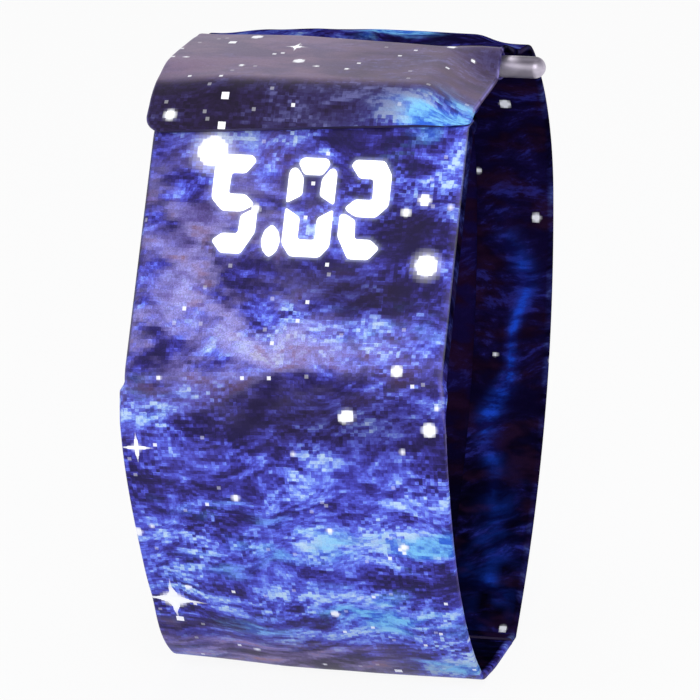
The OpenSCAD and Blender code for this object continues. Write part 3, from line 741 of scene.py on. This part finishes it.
def fields(part):
    """Shares of dark print and painted shade, dark plum and a painted shadow, haze, cyan and
    painted sheen on the print, and how light it is.
    """
    u, v, x = part.u, part.v, part.x
    inside = np.isin(part.region, INSIDES)
    outside = 1 - inside
    fold = fold_at(x) - BEFORE_FOLD
    on_flap = smooth((v - fold) / 0.6)
    bright_end = blob(u, v, 15.5, s_flap_end - 1.6, 7.5, 3.6, -24)
    plum_and_shadow = on_flap * (1 - np.clip(1.3 * bright_end, 0, 1)) * outside
    for (low, high), strength, *place in PLUM_AND_SHADOW:
        plum_and_shadow = np.maximum(plum_and_shadow, strength * (low < v) * (v < high) * outside * blob(u, v, *place))
    cyan = bright_end * on_flap * 1.35 + patches(u, v, CYAN)
    cyan = (cyan + (v < 0) * patches(u, v, CYAN_ABOVE)) * outside + inside * inner_wisps(x, v)
    # painted sheen: a pale reflection painted on the flap's top, fading at its bright end and
    # towards the right, with painted shade where it dips at its right edge
    painted_sheen = on_flap * outside * (1 - smooth((v - s_crease - 16.6) / 2.0))
    painted_sheen = painted_sheen * (1 - 0.8 * np.clip(bright_end, 0, 1))
    painted_sheen = painted_sheen * (1 - 0.42 * smooth((u + 3) / 9))
    painted_sheen = painted_sheen * (1 - 0.7 * blob(u, v, 17.0, s_crease + 4.5, 4.0, 3.0))
    return {
        "dark_print_and_shade": dark_and_shade_share(part, fold), "plum_and_shadow": np.clip(plum_and_shadow, 0, 1),
        "haze": np.clip(patches(u, v, HAZE), 0, 1), "cyan": np.clip(cyan, 0, 1.2),
        "painted_sheen": painted_sheen, "light": patches(u, v, LIGHT) * outside}


def inner_toe_and_edges(part, worn_and_highlit):
    """The inner faces and their lighter upper part, a painted sheen on the toe, and worn edges with
    a painted highlight.
    """
    v, region = part.v, part.region
    inner_face = np.isin(region, INSIDES)
    # painted sheen and warm painted glints on the toe, which faces down and gets little light
    toe_sheen_patch = 1.1 * blob(part.u, v, -5, 39.5, 15, 4.2, 3)
    dark_edge = (v > s_join) & (v < fold_at(part.x) + 0.5)
    # a thin light line just round each long edge: partly worn print, partly a painted highlight
    worn_and_highlit = worn_and_highlit * np.where(region == RIGHT_EDGE, 1.0, 0.45) * np.where(dark_edge, 0.12, 1.0)
    return {
        "inner": inner_face,
        "under": inner_face * np.where(region == INNER, 1.0, 0.5) * smooth((v - s_join - 10) / 30),
        "toe_sheen": toe_sheen_patch * (v > 28) * (v < s_join) * ~inner_face,
        "wear_and_highlight": worn_and_highlit * np.exp(-(((part.over - 0.36) / 0.13) ** 2))}


for part, worn_and_highlit in ((front, 1.0), (rear, 0.6), (flap, 2.3)):
    for name, values in {**fields(part), **inner_toe_and_edges(part, worn_and_highlit)}.items():
        paint(part.obj, name, values)


# Materials
def to_linear(c):
    return c / 12.92 if c <= 0.04045 else ((c + 0.055) / 1.055) ** 2.4


def srgb(r, g, b):
    return (to_linear(r / 255), to_linear(g / 255), to_linear(b / 255), 1.0)


class Nodes:
    """Short ways to add and join shader nodes. Colours are given as (r, g, b), up to 255."""

    def __init__(self, name):
        self.material = bpy.data.materials.new(name)
        self.material.use_nodes = True
        self.tree = self.material.node_tree
        self.tree.nodes.clear()
        self.out = self.add("ShaderNodeOutputMaterial")
        self.shader = self.add("ShaderNodeBsdfPrincipled")
        self.join(self.shader.outputs[0], self.out.inputs[0])

    def add(self, kind, **settings):
        node = self.tree.nodes.new(kind)
        for key, value in settings.items():
            setattr(node, key, value)
        return node

    def join(self, a, b):
        self.tree.links.new(a, b)

    def put(self, socket, value):
        if isinstance(value, bpy.types.NodeSocket):
            self.join(value, socket)
        elif value is not None:
            socket.default_value = value

    def surface(self, name, value):
        self.put(self.shader.inputs[name], value)

    def math(self, op, a, b=None, clamp=False):
        node = self.add("ShaderNodeMath", operation=op, use_clamp=clamp)
        self.put(node.inputs[0], a)
        self.put(node.inputs[1], b)
        return node.outputs[0]

    def times(self, a, b, clamp=False):
        return self.math("MULTIPLY", a, b, clamp)

    def plus(self, a, b):
        return self.math("ADD", a, b)

    def minus(self, a, b, clamp=False):
        return self.math("SUBTRACT", a, b, clamp)

    def most(self, a, b):
        return self.math("MAXIMUM", a, b)

    def vector(self, op, a, b=None):
        node = self.add("ShaderNodeVectorMath", operation=op)
        self.put(node.inputs[0], a)
        self.put(node.inputs[1], b)
        return node.outputs["Value" if op in ("LENGTH", "DISTANCE") else "Vector"]

    def scaled(self, a, scale):
        node = self.add("ShaderNodeVectorMath", operation="SCALE")
        self.put(node.inputs[0], a)
        self.put(node.inputs["Scale"], scale)
        return node.outputs[0]

    def mix(self, share, a, b):
        node = self.add("ShaderNodeMix", data_type="RGBA", clamp_factor=True)
        for k, value in ((0, share), (6, a), (7, b)):
            self.put(node.inputs[k], srgb(*value) if isinstance(value, tuple) else value)
        return node.outputs[2]

    def noise(self, at, scale, detail, rough, distortion=0.0, out="Fac"):
        node = self.add("ShaderNodeTexNoise")
        names = "Vector", "Scale", "Detail", "Roughness", "Distortion"
        for name, value in zip(names, (at, scale, detail, rough, distortion)):
            self.put(node.inputs[name], value)
        return node.outputs[out]

    def clouds(self, at, stretch, detail, rough):
        return self.noise(self.vector("MULTIPLY", at, stretch), 1.0, detail, rough)

    def random(self, at):
        node = self.add("ShaderNodeTexWhiteNoise", noise_dimensions="2D")
        self.put(node.inputs["Vector"], at)
        return node.outputs["Value"]

    def ramp(self, value, stops):
        node = self.add("ShaderNodeValToRGB")
        elements = node.color_ramp.elements
        for k, (place, colour) in enumerate(stops):
            e = elements[k] if k < 2 else elements.new(place)
            e.position = place
            e.color = srgb(*colour)
        self.put(node.inputs[0], value)
        return node.outputs[0]

    def share(self, value, low, high):
        """0 to 1 as the value goes from low to high."""
        node = self.add("ShaderNodeMapRange", interpolation_type="SMOOTHSTEP")
        for k, given in enumerate((value, low, high)):
            self.put(node.inputs[k], given)
        return node.outputs[0]

    def attribute(self, name):
        return self.add("ShaderNodeAttribute", attribute_name=name).outputs["Fac"]

    def bump(self, height, strength, distance):
        node = self.add("ShaderNodeBump")
        for name, value in (("Strength", strength), ("Distance", distance), ("Height", height)):
            self.put(node.inputs[name], value)
        return node.outputs[0]


PIXEL = 0.40  # a print dot in millimetres
WHITE = (255, 255, 255)
# Bright stars with four rays: place on the print in millimetres, arm length and core radius
SPARKLES = [
    (-14.5, 30.2, 4.4, 0.85), (-15.4, 8.6, 2.2, 0.32), (-4.5, s_rod_top + 4.6, 1.8, 0.3),
    (33.0, 75.0, 2.0, 0.4), (-33.0, 64.0, 2.2, 0.5)]
# Round bright stars: place and radius
ROUND_STARS = [
    (-9.5, -22.7, 1.75), (14.1, -11.8, 1.2), (7.0, 4.6, 0.6), (-14.4, s_flap_end - 0.9, 0.55),
    (13.2, -18.6, 0.55)]
# Colours of the print, from dark to light; the toe's ramp is a painted sheen, and the plum and
# darkest ramps also give painted shade
BLUES = [
    (0.0, (30, 22, 74)), (0.20, (46, 37, 112)), (0.40, (64, 60, 166)), (0.58, (84, 88, 212)),
    (0.74, (106, 124, 244)), (0.88, (140, 172, 255)), (1.0, (200, 228, 255))]
DUSTY = [
    (0.30, (86, 68, 134)), (0.45, (120, 106, 186)), (0.53, (156, 146, 218)),
    (0.60, (152, 114, 138)), (0.68, (144, 136, 214))]
TOE_SHEEN_RAMP = [
    (0.40, (58, 44, 86)), (0.50, (112, 94, 150)), (0.58, (160, 146, 204)), (0.64, (186, 140, 156))]
PLUMS = [(0.0, (26, 16, 40)), (0.5, (40, 27, 58)), (0.8, (54, 42, 82)), (1.0, (84, 76, 140))]
DARK_PRINT_AND_SHADE = [(0.0, (3, 2, 10)), (0.45, (8, 6, 28)), (0.75, (19, 15, 60)), (1.0, (42, 46, 138))]


def star_field(n, at, grid, dark_print_and_shade):
    """How white the stars make the print."""

    def dots(dot, offset, rarity, white):
        cell = n.vector("SNAP", n.vector("ADD", at, (offset, offset * 0.7, 0)), (dot, dot, dot))
        return n.times(n.math("GREATER_THAN", n.random(cell), rarity), white)

    def spot(cx, cy, radius, soft):
        gap = n.vector("DISTANCE", n.mix(0.6, at, grid), (cx, cy, 0))
        return n.minus(1.0, n.share(gap, radius, radius + soft))

    # small square stars, one print dot or two wide
    stars = n.most(dots(PIXEL, 0.0, 0.9982, 0.75), dots(2 * PIXEL, 5.9, 0.9992, 0.95))
    stars = n.most(stars, dots(PIXEL, 7.7, 0.996, 0.22))
    stars = n.times(stars, n.minus(1.0, n.times(dark_print_and_shade, 1.6), clamp=True))
    for cx, cy, radius in ROUND_STARS:
        stars = n.most(stars, spot(cx, cy, radius * 0.86, 0.3))
        stars = n.most(stars, n.times(spot(cx, cy, radius * 0.5, radius * 1.3), 0.4))
    for cx, cy, arm, core in SPARKLES:
        gap = n.vector("ABSOLUTE", n.vector("SUBTRACT", n.mix(0.35, at, grid), (cx, cy, 0)))
        parts = n.add("ShaderNodeSeparateXYZ")
        n.put(parts.inputs[0], gap)
        across, along = parts.outputs[0], parts.outputs[1]
        for p, q in ((across, along), (along, across)):
            thin = n.minus(1.0, n.math("DIVIDE", p, arm), clamp=True)
            ray = n.math("LESS_THAN", q, n.times(n.times(thin, thin), core))
            stars = n.most(stars, n.times(ray, n.math("MINIMUM", n.times(thin, 1.6), 1.0)))
        stars = n.most(stars, spot(cx, cy, core * 0.8, core * 1.3))
    # soft round stars, larger and further apart
    cells = n.add("ShaderNodeTexVoronoi", feature="F1", voronoi_dimensions="2D")
    n.put(cells.inputs["Vector"], n.mix(0.5, at, grid))
    n.put(cells.inputs["Scale"], 0.13)
    away = n.math("DIVIDE", cells.outputs["Distance"], 0.13)
    split = n.add("ShaderNodeSeparateColor")
    n.put(split.inputs[0], cells.outputs["Color"])
    size = n.times(n.times(split.outputs[0], split.outputs[1]), 0.7)
    soft = n.minus(1.0, n.share(n.minus(away, size), 0.0, 0.4))
    soft = n.times(soft, n.math("GREATER_THAN", split.outputs[2], 0.5))
    stars = n.most(stars, n.times(soft, 0.9))
    return n.times(stars, n.minus(1.0, n.times(dark_print_and_shade, 0.25)))


def print_material(name, gloss, roughness):
    """The star print on paper: clouds in rough print dots, small stars, haze, and worn edges, with
    painted sheen, shade, highlights and glow.
    """
    n = Nodes(name)
    uv = n.add("ShaderNodeUVMap", uv_map="print").outputs[0]
    at = n.scaled(uv, PRINT_SCALE)
    grid = n.vector("SNAP", at, (PIXEL, PIXEL, PIXEL))
    grid = n.vector("ADD", grid, (PIXEL / 2, PIXEL / 2, 0))
    dark_print_and_shade, plum_and_shadow, haze, cyan, light, painted_sheen = map(
        n.attribute, ("dark_print_and_shade", "plum_and_shadow", "haze", "cyan", "light", "painted_sheen"))
    toe_sheen, inner, under, worn_and_highlit, glow = map(n.attribute, ("toe_sheen", "inner", "under", "wear_and_highlight", "glow"))
    day = n.minus(1.0, dark_print_and_shade, clamp=True)

    # where the clouds are read: partly in print dots, swirled and turned
    mostly = n.mix(n.times(day, 0.62), at, grid)
    swirl = n.noise(n.scaled(at, 0.075), 1.0, 2.0, 0.5, out="Color")
    bent = n.vector("ADD", mostly, n.scaled(n.vector("SUBTRACT", swirl, (0.5, 0.5, 0.5)), 8.0))
    turned = n.add("ShaderNodeVectorRotate", rotation_type="Z_AXIS")
    n.put(turned.inputs["Vector"], bent)
    n.put(turned.inputs["Angle"], math.radians(7))
    turned = turned.outputs[0]
    big = n.clouds(turned, (0.06, 0.14, 0.1), 5.0, 0.62)
    fine = n.clouds(turned, (0.36, 0.84, 0.4), 4.0, 0.7)
    streak = n.clouds(turned, (0.16, 0.42, 0.1), 4.0, 0.6)
    warm = n.clouds(mostly, (0.13, 0.25, 0.1), 3.0, 0.6)
    cloud = n.clouds(mostly, (0.11, 0.22, 0.1), 4.0, 0.6)

    # lightness: the clouds, and the dots' own shades where the print is busy
    wide_grid = n.vector("SNAP", n.vector("ADD", at, (0.9, 0.3, 0)), (3 * PIXEL, PIXEL, PIXEL))
    shades = n.plus(n.times(n.random(grid), 0.55), n.times(n.random(wide_grid), 0.45))
    busy = n.share(n.noise(n.scaled(at, 0.13), 1.0, 2.0, 0.5), 0.42, 0.62)
    contrast = n.times(day, n.plus(0.06, n.times(busy, 0.14)))
    level = n.plus(n.times(big, 0.75), n.times(fine, 0.55))
    level = n.plus(level, n.times(n.minus(shades, 0.5), contrast))
    level = n.plus(level, n.times(cyan, 0.13))
    level = n.plus(level, n.times(light, 0.10))
    level = n.share(level, 0.50, 0.84)

    # colours of the day side: the clouds, haze, the toe's painted sheen, plum with a painted
    # shadow, the painted sheen on the flap's top, and the cyan patches
    colour = n.ramp(level, BLUES)
    dusty = n.mix(n.times(level, 0.5), n.ramp(warm, DUSTY), (196, 198, 250))
    colour = n.mix(n.times(n.times(haze, n.share(cloud, 0.38, 0.56)), 0.85), colour, dusty)
    colour = n.mix(n.times(toe_sheen, 0.9, clamp=True), colour, n.ramp(streak, TOE_SHEEN_RAMP))
    colour = n.mix(n.times(plum_and_shadow, 0.94), colour, n.ramp(level, PLUMS))
    sheen_colour = n.mix(n.share(warm, 0.4, 0.6), (146, 124, 150), (124, 110, 140))
    colour = n.mix(n.times(painted_sheen, 0.78), colour, sheen_colour)
    full = n.share(n.plus(streak, n.times(cyan, 0.30)), 0.54, 0.78)
    cyan_share = n.times(n.times(cyan, 1.5, clamp=True), full)
    cyan_share = n.most(cyan_share, n.times(cyan, n.times(inner, 0.8)))
    bright = n.mix(n.share(fine, 0.4, 0.62), (52, 104, 220), (132, 206, 255))
    colour = n.mix(cyan_share, colour, bright)

    # the dark print and painted shade, and the inner blue wisps
    hold = n.times(cyan_share, n.times(n.minus(1.0, inner), 0.85))
    dark = n.ramp(level, DARK_PRINT_AND_SHADE)
    dark = n.mix(n.times(n.share(warm, 0.52, 0.66), 0.6), dark, (40, 20, 44))
    lighter = n.mix(n.share(warm, 0.44, 0.56), (30, 20, 78), (40, 18, 50))
    dark = n.mix(n.times(under, 0.6), dark, lighter)
    colour = n.mix(n.times(dark_print_and_shade, n.minus(1.0, hold), clamp=True), colour, dark)
    wisp = n.mix(n.share(streak, 0.4, 0.6), (12, 28, 112), (30, 76, 214))
    colour = n.mix(n.times(cyan_share, inner), colour, wisp)

    # fine grain, stars, worn edges with a painted highlight, and the digits' glow painted round
    # them
    grain = n.random(n.vector("SNAP", at, (0.11, 0.11, 0.11)))
    speck = n.times(n.minus(grain, 0.5), n.plus(0.16, n.times(haze, 0.30)))
    colour = n.scaled(colour, n.plus(1.0, speck))
    stars = star_field(n, at, grid, dark_print_and_shade)
    colour = n.mix(stars, colour, WHITE)
    rubbed = n.share(n.noise(n.scaled(at, 0.5), 1.0, 2.0, 0.6), 0.3, 0.6)
    colour = n.mix(n.times(n.times(worn_and_highlit, rubbed), 0.5), colour, (150, 140, 208))
    colour = n.mix(n.times(glow, 0.4, clamp=True), colour, (200, 210, 255))
    n.surface("Base Color", colour)
    n.surface("Emission Color", srgb(226, 232, 255))
    # the stars give off a little painted light, more on the dark print and in painted shade, so
    # they stay bright there
    lit = n.times(stars, n.plus(0.22, n.times(dark_print_and_shade, 0.16)))
    n.surface("Emission Strength", n.plus(n.times(glow, 0.10), lit))

    # the paper's own surface
    fibre = n.noise(n.vector("MULTIPLY", at, (1.3, 2.4, 1.0)), 1.6, 5.0, 0.7, 0.6)
    crumple = n.noise(n.scaled(at, 0.16), 1.0, 3.0, 0.5, 0.8)
    n.surface("Roughness", n.plus(roughness - 0.08, n.times(fibre, 0.16)))
    n.surface("Specular IOR Level", gloss)
    n.surface("Normal", n.bump(n.plus(n.times(fibre, 0.25), crumple), 0.35, 0.00022))
    return n.material


def plain(name, colour, other, rough, metal, grain, bump=0.05, stretch=(1, 1, 1), emit=0.0):
    """A moulded, rolled or cut surface: two close shades, uneven gloss and a fine relief."""
    n = Nodes(name)
    at = n.vector("MULTIPLY", n.add("ShaderNodeTexCoord").outputs["Object"], stretch)
    shade = n.noise(at, grain, 4.0, 0.6)
    cloud = n.noise(at, grain / 9, 2.0, 0.5)
    n.surface("Base Color", n.mix(n.share(cloud, 0.3, 0.7), colour, other))
    n.surface("Roughness", n.plus(rough - 0.07, n.times(shade, 0.14)))
    n.surface("Metallic", metal)
    n.surface("Normal", n.bump(shade, bump, 0.0001))
    if emit:
        n.surface("Emission Color", srgb(*colour))
        n.surface("Emission Strength", emit)
    return n.material


outside = print_material("star_print_paper", 0.13, 0.40)
inside = print_material("star_print_inside", 0.0, 0.6)
folded_end = plain("paper_end", (58, 46, 84), (36, 27, 60), 0.6, 0.0, 1500)
for obj in (front_obj, rear_obj, flap_obj):
    for material in (outside, inside, folded_end):
        obj.data.materials.append(material)
lit_look = plain("lit_paper", WHITE, (250, 252, 255), 0.6, 0.0, 2500, emit=0.9)
lit_obj.data.materials.append(lit_look)

# Two shades, roughness, metal, grain, relief, and stretch of the grain
LOOKS = {
    "strip_steel": ((165, 165, 170), (140, 140, 146), 0.4, 1.0, 1200, 0.05, (0.1, 1, 1)),
    "cell_steel": ((190, 190, 194), (172, 172, 176), 0.28, 1.0, 1500, 0.03),
    "crystal_can": ((170, 168, 160), (150, 148, 142), 0.35, 1.0, 1500, 0.04),
    "spring_brass": ((214, 172, 92), (186, 142, 66), 0.32, 1.0, 1500, 0.04, (0.2, 1, 1)),
    "white_film": ((240, 240, 238), (228, 228, 226), 0.7, 0.0, 1200, 0.03),
    "mask_plastic": ((222, 222, 220), (206, 206, 204), 0.6, 0.0, 1100, 0.06),
    "clear_resin": ((236, 234, 220), (222, 220, 206), 0.2, 0.0, 900, 0.02),
    "light_chip": ((240, 226, 160), (226, 208, 136), 0.3, 0.0, 1800, 0.03),
    "board": ((28, 96, 52), (20, 78, 42), 0.4, 0.0, 1500, 0.08),
    "chip_body": ((34, 34, 36), (24, 24, 26), 0.55, 0.0, 2400, 0.08),
    "dark_chip": ((42, 42, 46), (28, 28, 32), 0.5, 0.0, 2400, 0.06),
    "tan_chip": ((178, 146, 104), (156, 124, 84), 0.5, 0.0, 2400, 0.06),
    "holder_plastic": ((62, 62, 66), (48, 48, 52), 0.55, 0.0, 1100, 0.08),
    "seal": ((214, 214, 208), (198, 198, 192), 0.55, 0.0, 1100, 0.04),
    "amber_film": ((202, 136, 48), (180, 112, 34), 0.25, 0.0, 900, 0.02),
    "button_plastic": ((232, 232, 230), (216, 216, 214), 0.5, 0.0, 1100, 0.05),
}
made = {name: plain(name + "_look", *look) for name, look in LOOKS.items()}
strip_obj.data.materials.append(made["strip_steel"])
for polygon in strip_obj.data.polygons:
    polygon.material_index = 0


def rod_material():
    """Satin metal rod, with a painted dark reflection on its upper side near the end, and fine
    lengthwise scratches.
    """
    n = Nodes("rod_look")
    place = n.add("ShaderNodeTexCoord").outputs["Object"]
    scratch = n.clouds(place, (90, 2400, 2400), 4.0, 0.6)
    blotch = n.clouds(place, (320, 700, 700), 3.0, 0.55)
    away = n.vector("SUBTRACT", place, DARK_REFLECTION_AT)
    gap = n.vector("LENGTH", n.vector("MULTIPLY", away, (420, 600, 640)))
    dark_reflection = n.times(n.minus(1.0, n.share(gap, 0.3, 1.1)), 0.9)
    colour = n.mix(n.share(blotch, 0.35, 0.65), (176, 168, 186), (208, 200, 216))
    n.surface("Base Color", n.mix(dark_reflection, colour, (60, 55, 68)))
    n.surface("Metallic", 0.75)
    n.surface("Roughness", n.plus(0.30, n.times(scratch, 0.16)))
    n.surface("Normal", n.bump(scratch, 0.08, 0.0001))
    return n.material


DARK_REFLECTION_AT = (0.0193, 0.0036, 0.0650)  # place of the painted dark reflection on the rod, in metres
made["rod_steel"] = rod_material()
for row in frame["record"]["subparts"]:
    node, where = frame["nodes"][row["node"]], row["material_slot"]
    if where in made:
        node.data.materials.clear()
        node.data.materials.append(made[where])
        for polygon in node.data.polygons:
            polygon.material_index = 0

# Camera, at the photograph's angle
AZIMUTH, ELEVATION, ROLL = math.radians(15.0), math.radians(15.79), math.radians(1.0)
TARGET = Vector((0.00051, 0.0, 0.0333))
CAMERA_GAP = 0.5
LENS, SENSOR = 242.3, 36
back = Vector((
    math.sin(AZIMUTH) * math.cos(ELEVATION), -math.cos(AZIMUTH) * math.cos(ELEVATION),
    math.sin(ELEVATION)))
right = Vector((math.cos(AZIMUTH), math.sin(AZIMUTH), 0))
up = back.cross(right)
right_turned = right * math.cos(ROLL) - up * math.sin(ROLL)
up_turned = right * math.sin(ROLL) + up * math.cos(ROLL)
camera_data = bpy.data.cameras.new("camera")
camera_data.sensor_width, camera_data.lens = SENSOR, LENS
camera_data.clip_start, camera_data.clip_end = 0.02, 20
camera = linked("camera", camera_data)
axes = Matrix((right_turned, up_turned, back)).transposed()
camera.matrix_world = Matrix.Translation(TARGET + back * CAMERA_GAP) @ axes.to_4x4()
bpy.context.scene.camera = camera


# Floor, backdrop and light
def seen_white(tree, lit_shader, white, share):
    """Camera rays, and those that metal or glass sends on, see mostly white, others the surface."""
    rays = tree.nodes.new("ShaderNodeLightPath").outputs

    def math_node(op, a, b):
        node = tree.nodes.new("ShaderNodeMath")
        node.operation = op
        tree.links.new(a, node.inputs[0])
        if isinstance(b, float):
            node.inputs[1].default_value = b
        else:
            tree.links.new(b, node.inputs[1])
        return node.outputs[0]

    sent_on = math_node("MAXIMUM", rays["Is Glossy Ray"], rays["Is Transmission Ray"])
    seen = math_node("MAXIMUM", rays["Is Camera Ray"], sent_on)
    mix = tree.nodes.new("ShaderNodeMixShader")
    tree.links.new(math_node("MULTIPLY", seen, share), mix.inputs[0])
    tree.links.new(lit_shader, mix.inputs[1])
    tree.links.new(white, mix.inputs[2])
    return mix.outputs[0]


FLOOR, FLOOR_Z = 3.0, -0.00002
corners = [(x * FLOOR, y * FLOOR, FLOOR_Z) for x, y in ((-1, -1), (1, -1), (1, 1), (-1, 1))]
floor_mesh = bpy.data.meshes.new("floor")
floor_mesh.from_pydata(corners, [], [(0, 1, 2, 3)])
floor = linked("floor", floor_mesh)
floor_look = Nodes("floor_look")
floor_look.surface("Base Color", (0.88, 0.88, 0.89, 1))
floor_look.surface("Roughness", 0.9)
floor_look.surface("Specular IOR Level", 0.1)
shine = floor_look.add("ShaderNodeEmission")
shine.inputs["Color"].default_value = (1, 1, 1, 1)
shine.inputs["Strength"].default_value = 1.0
shown = seen_white(floor_look.tree, floor_look.shader.outputs[0], shine.outputs[0], 0.92)
floor_look.join(shown, floor_look.out.inputs[0])
floor_mesh.materials.append(floor_look.material)
world = bpy.data.worlds.new("world")
bpy.context.scene.world = world
world.use_nodes = True
sky = world.node_tree
sky.nodes.clear()


def background(colour, strength):
    node = sky.nodes.new("ShaderNodeBackground")
    node.inputs["Color"].default_value = colour
    node.inputs["Strength"].default_value = strength
    return node.outputs[0]


ambient = background((0.95, 0.96, 1.0, 1), 0.42)
white = background((1, 1, 1, 1), 1.0)
sky_out = sky.nodes.new("ShaderNodeOutputWorld")
sky.links.new(seen_white(sky, ambient, white, 1.0), sky_out.inputs[0])


LAMP_AIM = Vector((0, 0, 0.035))


def lamp(name, place, power, size):
    data = bpy.data.lights.new(name, "AREA")
    data.energy = power
    data.size = size
    obj = linked(name, data)
    obj.location = place
    obj.rotation_euler = (LAMP_AIM - Vector(place)).to_track_quat("-Z", "Y").to_euler()


lamp("key", (0.16, -0.55, 0.36), 1.9, 0.35)
lamp("fill", (-0.45, -0.35, 0.25), 0.45, 0.4)
lamp("top", (0.0, 0.1, 0.6), 0.8, 0.4)

bpy.context.scene.view_settings.view_transform = "Standard"
